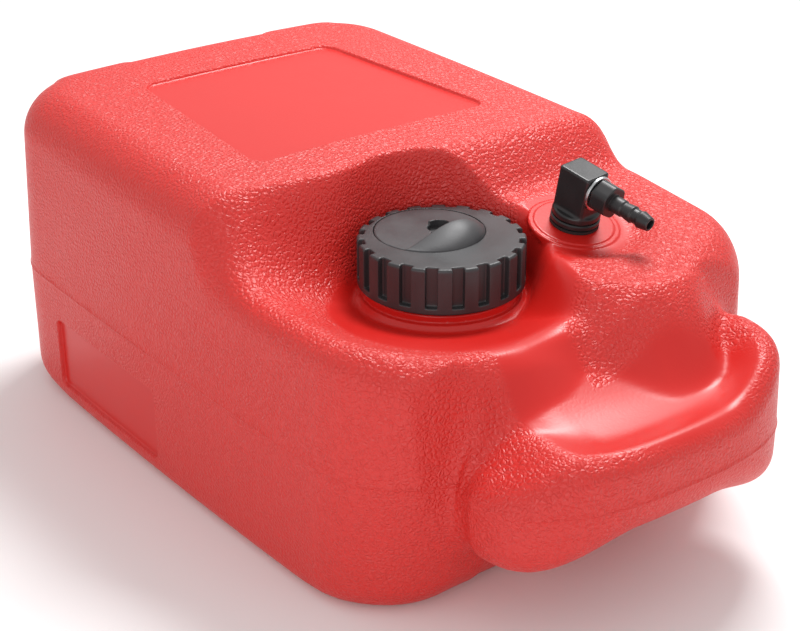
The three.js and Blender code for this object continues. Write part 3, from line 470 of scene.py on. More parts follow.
def body_wall(x, y, z):
    """Distance to the body's upright walls, with their draft, feet, lean and plate."""
    band = rise(foot_inner_x - foot_run, foot_inner_x, np.abs(x))
    band = band * (1 - rise(foot_outer_x - foot_run, foot_outer_x, np.abs(x)))
    span = rise(foot_bottom_height, foot_bottom_height + foot_run, z)
    span = span * (1 - rise(foot_top_height, foot_top_height + foot_run, z))
    rear = rear_bow * np.maximum(0, 1 - (x / (body_half_width - rear_corner_radius)) ** 2)
    feet = np.where(y > rear_wall_y - rear_corner_radius, foot_proud * band * span + rear, 0)
    lean = front_lean * rise(-front_lean_start_y, -front_wall_y, -y) * np.maximum(0, 1 - z / parting_height)
    y = y - feet - lean
    along = (y - body_middle_y) / (body_half_length - side_bow_end)
    bow = side_bow * np.maximum(0, 1 - along * along)
    radius = np.where(y > body_middle_y, rear_corner_radius, front_corner_radius)
    beside = np.maximum(np.abs(x) - bow, 0)
    wall = rounded_box(beside, y - body_middle_y, body_half_width, body_half_length, radius)
    plate = np.where(x < 0, plate_depth * sunk(plate_distance(y, z)), 0)
    return wall + wall_draft(z) + plate


def handle_wall(x, y, inset):
    """Distance in plan to the handle's outline, moved inward by inset."""
    half_width = handle_half_width - inset
    half_length = handle_center_y - handle_front_y - inset
    across = np.abs(x) / half_width
    along = np.abs(np.minimum(y - handle_center_y, 0)) / half_length
    power = handle_roundness
    total = np.maximum(across ** power + along ** power, least_total)
    reach = total ** (1 / power)
    slope = reach / total
    fall = np.hypot(slope * across ** (power - 1) / half_width, slope * along ** (power - 1) / half_length)
    front = (reach - 1) / np.maximum(fall, least_fall)
    if inset:
        return np.where(y < handle_center_y - foot_run, front, np.maximum(np.abs(x) - half_width, front))
    narrowing = rise(handle_center_y - foot_run, front_wall_y, y)
    side = np.abs(x) - mix(half_width, handle_neck_half_width, narrowing)
    return np.where(y < handle_center_y - foot_run, front, side)


def upper_edge_radius(x, y, height):
    past_front = rise(front_wall_y, front_wall_y + front_corner_radius, y)
    past_bar = rise(front_wall_y - lobe_run, front_wall_y + lobe_run, y)
    past_step = rise(step_middle_y - step_half_run, step_middle_y + step_half_run, y)
    radius = mix(lobe_edge_radius, deck_edge_radius, past_front)
    radius = mix(mix(bar_edge_radius, radius, past_bar), top_edge_radius, past_step)
    return np.minimum(radius, edge_reach_share * np.maximum(height - parting_height, least_edge_height))


def lower_edge_radius(x, y):
    sideways = rise(*bottom_side_share, np.abs(x) / body_half_width)
    endways = rise(*bottom_end_share, np.abs(y - body_middle_y) / body_half_length)
    frontways = rise(*bottom_end_share, (body_middle_y - y) / body_half_length)
    radius = mix(bottom_edge_radius, bottom_front_radius, frontways * (1 - sideways))
    return mix(radius, bottom_corner_radius, sideways * endways)


def outlet_axes(x, y, z):
    """A point's distance from the outlet's axis and its height over the outlet's pad."""
    along = (y - outlet_y) * math.cos(outlet_tilt) + (z - outlet_pad_height) * math.sin(outlet_tilt)
    over = (z - outlet_pad_height) * math.cos(outlet_tilt) - (y - outlet_y) * math.sin(outlet_tilt)
    return np.hypot(x - outlet_x, along), over


def plain_tank(x, y, z):
    """Distance field of the tank without its recesses, bead, collar and pad."""
    height = upper_height(x, y)
    slope_x = upper_height(x + 1, y) - upper_height(x - 1, y)
    slope_y = upper_height(x, y + 1) - upper_height(x, y - 1)
    steepness = np.sqrt(1 + (slope_x * slope_x + slope_y * slope_y) / 4)
    sink = panel_depth * sunk(panel_distance(x, y))
    top = (z - height + sink) / steepness
    radius = upper_edge_radius(x, y, height)
    bead = bead_height * np.maximum(0, 1 - np.abs(z - parting_height) / bead_half_width)
    body = within(body_wall(x, y, z) - bead, -z, lower_edge_radius(x, y))
    aside = rise(handle_half_width / 4, handle_half_width, np.abs(x))
    under = mix(bar_under_height, bar_root_under_height, aside)
    handle = within(handle_wall(x, y, 0) + wall_draft(z) - bead, under - z, bar_under_radius)
    handle = np.maximum(handle, y - front_wall_y - handle_root_depth)
    form = within(joined(body, handle, join_fillet), top, radius)
    ceiling = web_height - web_thickness
    pocket = handle_wall(x, y, bar_depth) - pocket_draft_share * (ceiling - z)
    pocket = within(pocket, z - ceiling, pocket_round)
    pocket = within(pocket, -body, pocket_round)
    return within(form, -pocket, pocket_edge_round)


def tank_field(x, y, z):
    form = plain_tank(x, y, z)
    distance = np.hypot(x - filler_x, y - filler_y)
    below = dish_floor_height - neck_root_depth - z
    collar = within(distance - collar_radius, z - dish_floor_height - collar_height, thread_clearance)
    ledge_top = dish_floor_height + collar_ring_height
    ledge = within(distance - collar_ring_radius, z - ledge_top, thread_clearance)
    raised = np.maximum(np.minimum(collar, ledge), below)
    form = np.where(distance < dish_inner_radius + dish_round, joined(form, raised, collar_fillet), form)
    radial, over = outlet_axes(x, y, z)
    pad = within(radial - outlet_pad_radius, over, gap * 2)
    step = within(radial - outlet_pad_radius - outlet_pad_step, over + outlet_pad_rise / 2, gap)
    pad = np.maximum(np.minimum(pad, step), -over - overrun)
    return np.where(radial < outlet_blend_radius, joined(form, pad, gap * 2), form)


def room_field(x, y, z):
    """The fuel space, a wall's thickness inside the tank."""
    return plain_tank(x, y, z) + wall_thickness


# Skin of a distance field
cell_corners = [(i, j, k) for i in (0, 1) for j in (0, 1) for k in (0, 1)]


def crossing_points(values, cells, low, step):
    """One point per cell, the mean of where the field crosses zero on the cell's edges."""
    total = np.zeros((len(cells), 3))
    count = np.zeros(len(cells))
    for first in cell_corners:
        for axis in range(3):
            if first[axis]:
                continue
            second = list(first)
            second[axis] = 1
            near = values[tuple((cells + first).T)]
            far = values[tuple((cells + second).T)]
            crosses = (near < 0) != (far < 0)
            share = near / np.where(crosses, near - far, 1)
            point = np.array(first) + share[:, None] * (np.array(second) - np.array(first))
            total += np.where(crosses[:, None], point, 0)
            count += crosses
    return low + step * (cells + total / count[:, None])


def cell_faces(inside, index):
    """One quad for each grid edge that crosses the surface."""
    quads = []
    for axis in range(3):
        ahead = np.roll(np.eye(3, dtype=int)[0], axis)
        size = np.array(inside.shape) - ahead
        here = inside[:size[0], :size[1], :size[2]]
        there = inside[ahead[0]:, ahead[1]:, ahead[2]:]
        edges = np.argwhere(here != there)
        side_u = np.roll(ahead, 1)
        side_v = np.roll(ahead, 2)
        ring = [edges - side_u - side_v, edges - side_v, edges, edges - side_u]
        quad = np.stack([index[tuple(cell.T)] for cell in ring], 1)
        outward = here[tuple(edges.T)]
        quads.append(np.where(outward[:, None], quad, quad[:, ::-1]))
    return np.concatenate(quads)


def slope_of(field, points, reach):
    """Gradient of the field at some points."""
    parts = []
    for axis in range(3):
        aside = np.zeros(3)
        aside[axis] = reach
        ahead = field(*(points + aside).T)
        behind = field(*(points - aside).T)
        parts.append((ahead - behind) / (2 * reach))
    return np.stack(parts, 1)


def settle(field, points, step, rounds=3):
    """Moves points onto the zero surface of the field."""
    for _ in range(rounds):
        slope = slope_of(field, points, step / 8)
        move = field(*points.T) / np.maximum((slope * slope).sum(1), least_slope)
        points = points - np.clip(move, -step, step)[:, None] * slope
    return points


def skin(field, low, high, step):
    """Closed surface of a distance field between two corners, as points and quads."""
    low = np.array(low, float)
    count = np.ceil((np.array(high) - low) / step).astype(int) + 1
    axes = [low[i] + step * np.arange(count[i]) for i in range(3)]
    x, y, z = np.meshgrid(*axes, indexing="ij", sparse=True)
    values = np.broadcast_to(field(x, y, z), count)
    inside = values < 0
    filled = np.zeros(count - 1, np.int8)
    for i, j, k in cell_corners:
        filled += inside[i:i + count[0] - 1, j:j + count[1] - 1, k:k + count[2] - 1]
    mixed = (filled > 0) & (filled < 8)
    cells = np.argwhere(mixed)
    index = np.full(mixed.shape, -1)
    index[mixed] = np.arange(len(cells))
    points = crossing_points(values, cells, low, step)
    return settle(field, points, step), cell_faces(inside, index)


def placed(name, data):
    """A new object of the scene."""
    made = bpy.data.objects.new(name, data)
    bpy.context.scene.collection.objects.link(made)
    return made


def new_object(name, points, faces):
    """A mesh object from points in millimetres in the tank's own frame."""
    mesh = bpy.data.meshes.new(name)
    mesh.from_pydata(((np.asarray(points) + frame_shift) * MM).tolist(), [], np.asarray(faces).tolist())
    mesh.update()
    return placed(name, mesh)


def points_of(mesh):
    """A mesh's points in millimetres in the tank's own frame."""
    points = np.empty(len(mesh.vertices) * 3)
    mesh.vertices.foreach_get("co", points)
    return points.reshape(-1, 3) / MM - frame_shift


def refine(made, field, wanted, step, rounds):
    """Splits the faces near the wanted places and settles their points on the field."""
    mesh = made.data
    for turn in range(rounds):
        near = wanted(points_of(mesh), step)
        model = bmesh.new()
        model.from_mesh(mesh)
        edges = [e for e in model.edges if near[e.verts[0].index] and near[e.verts[1].index]]
        bmesh.ops.subdivide_edges(model, edges=edges, cuts=1, use_grid_fill=True)
        model.to_mesh(mesh)
        model.free()
        step = step / 2
    points = settle(field, points_of(mesh), step)
    mesh.vertices.foreach_set("co", ((points + frame_shift) * MM).ravel())
    mesh.update()


def cut(target, cutter, operation):
    """Applies a boolean to target and removes the cutter."""
    modifier = target.modifiers.new("cut", "BOOLEAN")
    modifier.object = cutter
    modifier.operation = operation
    modifier.solver = "MANIFOLD"
    depsgraph = bpy.context.evaluated_depsgraph_get()
    result = bpy.data.meshes.new_from_object(target.evaluated_get(depsgraph))
    target.modifiers.clear()
    target.data = result
    bpy.data.objects.remove(cutter)


def carried(points, matrix):
    """A piece's points, carried from its own frame into the tank's."""
    return points @ np.array(matrix.to_3x3()).T + np.array(matrix.translation)


def turned(name, profile, steps, matrix):
    """Closed lathe solid from an outline of radius and height, points in millimetres."""
    angles = 2 * math.pi * np.arange(steps) / steps
    profile = np.array(profile)
    rings = []
    for angle in angles:
        ring = np.stack([profile[:, 0] * math.cos(angle), profile[:, 0] * math.sin(angle), profile[:, 1]], 1)
        rings.append(ring)
    points = carried(np.concatenate(rings), matrix)
    size = len(profile)
    faces = []
    for i in range(steps):
        here = i * size
        there = ((i + 1) % steps) * size
        for k in range(size):
            after = (k + 1) % size
            faces.append([here + k, here + after, there + after, there + k])
    return new_object(name, points, faces)


filler_matrix = Matrix.Translation((filler_x, filler_y, 0))
outlet_matrix = Matrix.Translation((outlet_x, outlet_y, outlet_pad_height))
outlet_matrix = outlet_matrix @ Matrix.Rotation(outlet_tilt, 4, "X")


def near_detail(points, step):
    """Points near the tank's moulded edges, which need small faces."""
    x, y, z = points.T
    reach = recess_edge + step * detail_reach
    on_top = z > upper_height(x, y) - overrun
    panel = (np.abs(panel_distance(x, y)) < reach) & on_top
    plate = (np.abs(plate_distance(y, z)) < reach) & (x < -body_half_width + 2 * overrun)
    bead = np.abs(z - parting_height) < bead_half_width + step
    radial, over = outlet_axes(x, y, z)
    pad = np.abs(radial - outlet_pad_radius - outlet_pad_step / 2) < reach + outlet_pad_step
    pad = pad & (np.abs(over) < overrun)
    distance = np.hypot(x - filler_x, y - filler_y)
    ledge = dish_floor_height + collar_ring_height
    collar = (distance > neck_outer_radius) & (distance < collar_ring_radius + overrun)
    collar = collar & (z > dish_floor_height - gap)
    return panel | plate | bead | pad | (collar & (np.abs(z - ledge) < 2 * overrun))


def neck_field(x, y, z):
    """Neck with its outer thread, in the filler's own frame."""
    distance = np.hypot(x, y)
    wall = within(distance - neck_outer_radius, z - filler_rim_height, thread_clearance)
    turns = np.arctan2(y, x) / (2 * math.pi)
    lift = z - thread_bottom - thread_pitch * turns
    along = lift - thread_pitch * np.round(lift / thread_pitch)
    start = (z - thread_bottom) / thread_pitch
    ridge = np.abs(along) + (distance - neck_outer_radius) * 0.5 - thread_root_width / 2
    ridge = np.maximum(ridge, distance - neck_outer_radius - thread_depth)
    ridge = np.maximum(ridge, thread_pitch * np.maximum(-start, start - thread_turns))
    return np.minimum(wall, np.maximum(ridge, z - filler_rim_height + 1))


def rod_profile(radius, bottom, top):
    """Outline of a plain rod, for turning."""
    return [(axis_radius, bottom), (radius, bottom), (radius, top), (axis_radius, top)]


def build_tank():
    body = new_object("tank_body", *skin(tank_field, tank_low, tank_high, tank_step))
    refine(body, tank_field, near_detail, tank_step, 2)
    reach = neck_outer_radius + thread_depth + 2
    bottom = dish_floor_height - neck_root_depth
    neck_points, neck_faces = skin(
        lambda x, y, z: np.maximum(neck_field(x, y, z), bottom - z),
        (-reach, -reach, bottom - 2), (reach, reach, filler_rim_height + 2), 2 * fine_step)
    neck = new_object("neck", neck_points + np.array([filler_x, filler_y, 0]), neck_faces)
    cut(body, neck, "UNION")
    room = new_object("room", *skin(room_field, tank_low, tank_high, room_step))
    bore_bottom = bottom - wall_thickness - overrun
    bore = rod_profile(neck_bore_radius, bore_bottom, filler_rim_height + overrun)
    cut(room, turned("bore", bore, bore_sides, filler_matrix), "UNION")
    hole = rod_profile(outlet_hole_radius, -4 * overrun, overrun)
    cut(room, turned("hole", hole, hole_sides, outlet_matrix), "UNION")
    cut(body, room, "DIFFERENCE")
    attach(body, "tank")
    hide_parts("tank_shell")
    return body


tank_body = build_tank()


# Cap, vent dial and outlet
def cap_field(x, y, z):
    """Cap with its grip slots, its hollow, its thread and the dial's recess, in the filler's own frame."""
    distance = np.hypot(x, y)
    angle = np.arctan2(y, x)
    pitch = 2 * math.pi / cap_slot_count
    aside = angle - pitch * (np.floor(angle / pitch) + 0.5)
    across = distance * np.sin(aside)
    outward = distance * np.cos(aside)
    cap = within(distance - cap_radius, z - cap_top_height, cap_edge_round)
    cap = within(cap, cap_bottom_height - z, cap_edge_round / 2)
    slot_floor = cap_radius - cap_slot_depth - outward
    slot = within(np.abs(across) - cap_slot_width / 2, slot_floor, cap_edge_round / 2)
    slot = within(slot, cap_bottom_height + cap_rim_height - z, cap_edge_round / 2)
    cap = within(cap, -slot, cap_slot_edge)
    inner = neck_outer_radius + thread_depth + thread_clearance
    under = cap_top_height - cap_top_thickness
    hollow = within(distance - inner, z - under, cap_slot_edge)
    lift = z - thread_bottom - thread_pitch * (angle / (2 * math.pi) + 0.5)
    ridge = np.abs(lift - thread_pitch * np.round(lift / thread_pitch)) + (inner - distance) / 2
    ridge = np.maximum(ridge - thread_root_width / 2, inner - thread_depth - distance)
    ridge = np.maximum(ridge, np.abs(z - cap_bottom_height - thread_pitch) - thread_pitch / 2)
    cap = np.maximum(cap, -np.maximum(hollow, -ridge))
    dial_distance = np.hypot(x, y - dial_offset_y)
    recess = np.maximum(dial_distance - dial_radius - gap, cap_top_height - dial_thickness - gap - z)
    stem = dial_distance - dial_stem_radius - gap
    return within(cap, -np.minimum(recess, stem), gap)


def grip_height_at(x, y):
    """Height of the dial's leaf-shaped grip over its face."""
    half_chord = math.sqrt(dial_radius ** 2 - grip_chord_offset ** 2)
    share = np.clip((x + half_chord) / (2 * half_chord), 0, 1)
    ridge = grip_height * np.maximum(np.sin(math.pi * share ** grip_peak_power), 0) ** grip_swell_power
    rim = np.sqrt(np.maximum(dial_radius ** 2 - x * x, 0))
    fall = np.clip((-y - grip_chord_offset) / np.maximum(rim - grip_chord_offset, gap), 0, 1)
    return ridge * (1 - fall ** grip_bulge_power) ** grip_fall_power


def dial_field(x, y, z):
    """Vent dial with its stem, grip, two-lobed pocket and lip; its face is at height zero."""
    distance = np.hypot(x, y)
    face = within(distance - dial_radius, z, dial_edge_round)
    disc = np.maximum(face, -z - dial_thickness)
    grip = np.maximum((z - grip_height_at(x, y)) / 2, y + grip_chord_offset)
    grip = np.maximum(grip, np.maximum(distance - dial_radius, -z - dial_thickness / 2))
    disc = joined(disc, within(grip, y + grip_chord_offset, grip_edge_round), grip_edge_round)
    groove_bottom = -cap_top_thickness - gap - dial_clip_thickness - gap
    groove_depth = dial_stem_radius - dial_groove_depth - distance
    groove_half = dial_clip_thickness / 2 + gap
    groove = np.maximum(np.abs(z - groove_bottom - groove_half) - groove_half, groove_depth)
    seal_height = -(dial_thickness + gap + cap_top_thickness) / 2
    seal_groove = np.maximum(np.abs(z - seal_height) - (dial_groove_depth + gap) / 2, groove_depth)
    stem = within(distance - dial_stem_radius, -z - dial_stem_length, cap_edge_round)
    stem = np.maximum(np.maximum(stem, z + dial_edge_round), -np.minimum(groove, seal_groove))
    dial = np.minimum(disc, stem)
    small_y = pocket_small_radius + pocket_setback - grip_chord_offset
    small = np.hypot(x - pocket_x + pocket_small_radius / 2, y - small_y) - pocket_small_radius
    big_x = x - pocket_x - pocket_small_radius / 2
    big_y = y - small_y - pocket_big_radius
    big = np.hypot(big_x, big_y) - pocket_big_radius
    lip = np.abs(big - pocket_lip_width / 2) - pocket_lip_width / 2
    lip_angle = np.abs(np.arctan2(big_y, big_x) - pocket_lip_turn)
    lip = np.where(lip_angle < pocket_lip_half_angle, lip, pocket_lip_width)
    lip = within(np.maximum(lip, -z - dial_thickness / 2), z - pocket_lip_height, pocket_lip_width / 3)
    dial = np.minimum(dial, lip)
    pocket = np.maximum(joined(small, big, gap), -z - pocket_depth)
    return within(dial, -pocket, gap)


elbow_bottom = gap + seal_thickness + gap + bush_flange_thickness + gap
barb_axis = elbow_bottom + barb_axis_height
washer_back = elbow_half_length + gap
hex_back = washer_back + washer_thickness + gap
hex_front = hex_back + hex_length
stub_end = hex_back - washer_thickness - barb_stub_length + gap


def elbow_field(x, y, z):
    """Square elbow on its round foot, in the swivel's own frame, with its outlet toward -Y."""
    block = rounded_box(x, y, elbow_half_width, elbow_half_length, elbow_side_round)
    block = within(block, z - elbow_bottom - elbow_height, elbow_top_round)
    distance = np.hypot(x, y)
    foot_top = elbow_bottom + elbow_foot_height
    foot = within(distance - bush_flange_radius + 2 * gap, z - foot_top, elbow_top_round)
    block = within(joined(block, foot, elbow_side_round), elbow_bottom - z, 2 * gap)
    radial = np.hypot(x, z - barb_axis)
    socket = np.maximum(distance - spigot_radius - gap, z - elbow_bottom - elbow_socket_depth)
    rising = np.maximum(distance - barb_bore_radius, z - barb_axis)
    along = np.maximum(radial - barb_bore_radius, y)
    stub = np.maximum(radial - barb_stub_radius - gap, y + elbow_half_length - barb_stub_length)
    return np.maximum(block, -np.minimum(np.minimum(socket, rising), np.minimum(along, stub)))


def barb_field(x, y, z):
    """Hexagon and barbed hose tail, with their axis along -Y."""
    radial = np.hypot(x, z - barb_axis)
    edge = tail_barb_radius - tail_tip_radius
    radii = (tail_root_radius, tail_root_radius, tail_root_radius - edge / 2, tail_barb_radius,
             tail_root_radius - edge / 2, tail_root_radius - edge / 2, tail_barb_radius, tail_tip_radius)
    places = [hex_front + share * tail_length for share in tail_place_shares]
    radius = np.interp(-y, [hex_front - gap, *places], [barb_stub_radius, *radii])
    tail = within(radial - radius, -y - hex_front - tail_length, gap)
    tail = np.maximum(tail * tail_steepness, stub_end + y)
    nut = -hex_flat
    for turn in (0, math.pi / 3, -math.pi / 3):
        flat = np.abs(x * math.cos(turn) + (z - barb_axis) * math.sin(turn)) - hex_flat
        nut = np.maximum(nut, flat)
    nut = within(nut, radial - hex_flat / math.cos(math.pi / 6) + hex_edge_round, hex_edge_round)
    nut = within(within(nut, -y - hex_front, hex_edge_round), hex_back + y, hex_edge_round)
    return np.maximum(np.minimum(tail, nut), barb_bore_radius - radial)


def washer_field(x, y, z):
    radial = np.hypot(x, z - barb_axis)
    half = washer_thickness / 2
    ring = within(radial - washer_radius, np.abs(y + washer_back + half) - half, gap)
    return np.maximum(ring, barb_stub_radius + gap - radial)


def formed(node, field, reach, step, matrix, body):
    """A piece made from a field in its own frame, which stands for a node of the frame."""
    low, high = reach
    points, faces = skin(field, low, high, step)
    made = new_object(node + "_form", carried(points, matrix), faces)
    return dressed(made, node, body)


def dressed(made, node, body):
    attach(made, body)
    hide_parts(node)
    return made


def bush_profile():
    bottom = -bush_tube_length
    flange_bottom = gap + seal_thickness + gap
    flange_top = flange_bottom + bush_flange_thickness
    spigot_top = flange_top + spigot_height
    groove_middle = flange_top + spigot_height / 2
    groove_half = (seal_groove_depth + gap) / 2
    socket_top = bottom + tube_socket_depth
    bevel = 2 * gap
    return [
        (bush_bore_radius, socket_top), (tube_radius + gap, socket_top), (tube_radius + gap, bottom),
        (bush_tube_radius - bevel, bottom), (bush_tube_radius, bottom + bevel),
        (bush_tube_radius, flange_bottom), (bush_flange_radius - bevel, flange_bottom),
        (bush_flange_radius, flange_bottom + bevel), (bush_flange_radius, flange_top - bevel),
        (bush_flange_radius - bevel, flange_top), (spigot_radius, flange_top),
        (spigot_radius, groove_middle - groove_half),
        (spigot_radius - seal_groove_depth, groove_middle - groove_half),
        (spigot_radius - seal_groove_depth, groove_middle + groove_half),
        (spigot_radius, groove_middle + groove_half), (spigot_radius, spigot_top - bevel),
        (spigot_radius - bevel, spigot_top), (bush_bore_radius - bevel, spigot_top),
        (bush_bore_radius - bevel, socket_top + gap),
    ]


swivel_matrix = outlet_matrix @ Matrix.Rotation(elbow_turn, 4, "Z")
dial_matrix = Matrix.Translation((filler_x, filler_y + dial_offset_y, cap_top_height))


def round_reach(radius, bottom, top):
    """Corners of the space round a piece that stands on its axis."""
    across = radius + skin_margin
    return (-across, -across, bottom - skin_margin), (across, across, top + skin_margin)


def level_reach(front, back):
    """Corners of the space round a piece on the hose barb's level axis."""
    across = washer_radius + skin_margin
    low = (-across, front - skin_margin, barb_axis - across)
    return low, (across, back + skin_margin, barb_axis + across)


cap_form = formed(
    "cap_shell", cap_field, round_reach(cap_radius, cap_bottom_height, cap_top_height),
    fine_step, filler_matrix, "cap")
dial_form = formed(
    "vent_dial", dial_field, round_reach(dial_radius, -dial_stem_length, grip_height),
    fine_step, dial_matrix, "dial")
elbow_form = formed(
    "outlet_elbow", elbow_field,
    round_reach(bush_flange_radius, elbow_bottom, elbow_bottom + elbow_height),
    fine_step, swivel_matrix, "elbow")
barb_form = formed(
    "hose_barb", barb_field, level_reach(-hex_front - tail_length, -stub_end),
    barb_step_share * fine_step, swivel_matrix, "elbow")
washer_form = formed(
    "barb_washer", washer_field, level_reach(-hex_back, -elbow_half_length),
    fine_step / 2, swivel_matrix, "elbow")
seal_inner = bush_tube_radius + gap
seal_top = gap + seal_thickness
seal_profile = [
    (seal_inner, gap), (bush_flange_radius, gap), (bush_flange_radius, seal_top), (seal_inner, seal_top),
]
bush_form = turned("bush_form", bush_profile(), fitting_sides, outlet_matrix)
bush_seal_form = turned("bush_seal_form", seal_profile, fitting_sides, outlet_matrix)
dressed(bush_form, "outlet_bush", "tank")
dressed(bush_seal_form, "bush_seal", "tank")


# Materials: colours, and lengths in metres
tank_red = (0.72, 0.022, 0.016)
smooth_red = (0.64, 0.014, 0.010)
# Paler red for the grained skin: painted sheen, standing in for the glints on the grain
grain_sheen_red = (0.69, 0.030, 0.024)
steel_grey = (0.55, 0.56, 0.57)
floor_white = (0.95, 0.95, 0.95)
tank_roughness = 0.36
steel_roughness = 0.3
floor_roughness = 0.8
cell_scale = 420
cell_edge = 0.32
warp_scale = 260
warp_length = 0.0022
fine_scale = 1500
fine_share = 0.35
grain_length = 0.00042
smooth_strength = 0.03
grain_strength = 0.85
grain_matt = 0.06
# How far the grained skin's colour moves toward the paler red, as painted sheen
painted_sheen_share = 0.8
wear_scale = 16
wear_detail = 5.0
flow_detail = 4.0
marks_detail = 2.0
wear_gloss = (0.29, 0.37)
wear_drift = (-0.15, 0.15)
noise_span = (0.3, 0.7)
scatter_share = 0.06
scatter_lengths = (0.004, 0.0008, 0.0006)
flow_scale = 60
flow_stretch = (1, 1, 0.35)
flow_gloss = (-0.05, 0.07)
flow_strength = 0.5
marks_scale = 900
marks_stretch = (1, 0.15, 1)
marks_gloss = (0.22, 0.42)
marks_length = 0.00005
marks_strength = 0.4
piece_edge_angle = 50
ring_edge_angle = 30

# Name, darker and lighter colour, roughness, grain scale and grain length of the moulded materials
cap_charcoal = ("cap_charcoal", (0.030, 0.029, 0.031), (0.046, 0.044, 0.047), 0.42, 1400, 0.00008)
dial_charcoal = ("dial_charcoal", (0.038, 0.036, 0.039), (0.058, 0.056, 0.059), 0.45, 1400, 0.00008)
fitting_dark = ("fitting_black", (0.012, 0.011, 0.012), (0.022, 0.020, 0.021), 0.34, 1800, 0.00006)
seal_dark = ("seal_rubber", (0.010, 0.010, 0.010), (0.020, 0.019, 0.019), 0.7, 900, 0.00010)
tube_natural = ("tube_natural", (0.60, 0.56, 0.46), (0.68, 0.64, 0.54), 0.4, 500, 0.00006)


def new_material(name, colour, roughness, metallic=0.0):
    """A principled material with its node tree and shader."""
    material = bpy.data.materials.new(name)
    material.use_nodes = True
    tree = material.node_tree
    shader = tree.nodes["Principled BSDF"]
    shader.inputs["Base Color"].default_value = (*colour, 1)
    shader.inputs["Roughness"].default_value = roughness
    shader.inputs["Metallic"].default_value = metallic
    return material, tree, shader


def noise(tree, scale, detail=3.0, stretch=(1, 1, 1)):
    """Noise over the object's own coordinates."""
    coords = tree.nodes.new("ShaderNodeTexCoord")
    mapping = tree.nodes.new("ShaderNodeMapping")
    mapping.inputs["Scale"].default_value = stretch
    made = tree.nodes.new("ShaderNodeTexNoise")
    made.inputs["Scale"].default_value = scale
    made.inputs["Detail"].default_value = detail
    tree.links.new(coords.outputs["Object"], mapping.inputs["Vector"])
    tree.links.new(mapping.outputs["Vector"], made.inputs["Vector"])
    return made.outputs["Fac"]


def ranged(tree, value, span, to_span):
    """A value's span carried over to another span."""
    made = tree.nodes.new("ShaderNodeMapRange")
    made.inputs["From Min"].default_value, made.inputs["From Max"].default_value = span
    made.inputs["To Min"].default_value, made.inputs["To Max"].default_value = to_span
    tree.links.new(value, made.inputs["Value"])
    return made.outputs["Result"]


def combined(tree, operation, first, second):
    made = tree.nodes.new("ShaderNodeMath")
    made.operation = operation
    for socket, value in zip(made.inputs, (first, second)):
        if isinstance(value, float):
            socket.default_value = value
        else:
            tree.links.new(value, socket)
    return made.outputs["Value"]


def bumped(tree, shader, height, distance, strength):
    """Relief from a height, of some depth in metres."""
    made = tree.nodes.new("ShaderNodeBump")
    made.inputs["Distance"].default_value = distance
    if isinstance(strength, float):
        made.inputs["Strength"].default_value = strength
    else:
        tree.links.new(strength, made.inputs["Strength"])
    tree.links.new(height, made.inputs["Height"])
    tree.links.new(made.outputs["Normal"], shader.inputs["Normal"])


def tinted(tree, shader, share, first, second):
    """Base colour between two colours by a share."""
    made = tree.nodes.new("ShaderNodeMix")
    made.data_type = "RGBA"
    made.inputs["A"].default_value = (*first, 1)
    made.inputs["B"].default_value = (*second, 1)
    tree.links.new(share, made.inputs["Factor"])
    tree.links.new(made.outputs["Result"], shader.inputs["Base Color"])


def red_plastic():
    """Blow-moulded red plastic with a leather grain where the grain attribute is 1, and a paler colour there
    as painted sheen.
    """
    material, tree, shader = new_material("tank_red", tank_red, tank_roughness)
    grain = tree.nodes.new("ShaderNodeAttribute")
    grain.attribute_name = "grain"
    coords = tree.nodes.new("ShaderNodeTexCoord")
    warp = tree.nodes.new("ShaderNodeTexNoise")
    warp.inputs["Scale"].default_value = warp_scale
    bend = tree.nodes.new("ShaderNodeVectorMath")
    bend.operation = "MULTIPLY_ADD"
    bend.inputs[1].default_value = (warp_length, warp_length, warp_length)
    cells = tree.nodes.new("ShaderNodeTexVoronoi")
    cells.feature = "DISTANCE_TO_EDGE"
    cells.inputs["Scale"].default_value = cell_scale
    tree.links.new(coords.outputs["Object"], warp.inputs["Vector"])
    tree.links.new(warp.outputs["Color"], bend.inputs[0])
    tree.links.new(coords.outputs["Object"], bend.inputs[2])
    tree.links.new(bend.outputs["Vector"], cells.inputs["Vector"])
    pebble = ranged(tree, cells.outputs["Distance"], (0, cell_edge), (0, 1))
    fine = combined(tree, "MULTIPLY", noise(tree, fine_scale), fine_share)
    height = combined(tree, "ADD", pebble, fine)
    grain_and_sheen_share = grain.outputs["Fac"]
    strength = ranged(tree, grain_and_sheen_share, (0, 1), (smooth_strength, grain_strength))
    bumped(tree, shader, height, grain_length, strength)
    wear = noise(tree, wear_scale, wear_detail)
    gloss = ranged(tree, wear, noise_span, wear_gloss)
    rough = combined(tree, "MULTIPLY", grain_and_sheen_share, grain_matt)
    tree.links.new(combined(tree, "ADD", gloss, rough), shader.inputs["Roughness"])
    drift = ranged(tree, wear, noise_span, wear_drift)
    # Painted sheen: where the skin is grained, its colour moves toward the paler red
    painted_sheen = combined(tree, "MULTIPLY", grain_and_sheen_share, painted_sheen_share)
    tinted(tree, shader, combined(tree, "ADD", painted_sheen, drift), smooth_red, grain_sheen_red)
    shader.inputs["Subsurface Weight"].default_value = scatter_share
    shader.inputs["Subsurface Radius"].default_value = scatter_lengths
    return material


def moulded(name, dark, light, roughness, grain_scale, grain_depth):
    """Moulded plastic or rubber with a fine grain, faint flow marks and uneven gloss."""
    material, tree, shader = new_material(name, dark, roughness)
    flow = noise(tree, flow_scale, flow_detail, flow_stretch)
    tinted(tree, shader, ranged(tree, flow, noise_span, (0, 1)), dark, light)
    gloss = (roughness + flow_gloss[0], roughness + flow_gloss[1])
    tree.links.new(ranged(tree, flow, noise_span, gloss), shader.inputs["Roughness"])
    bumped(tree, shader, noise(tree, grain_scale), grain_depth, flow_strength)
    return material


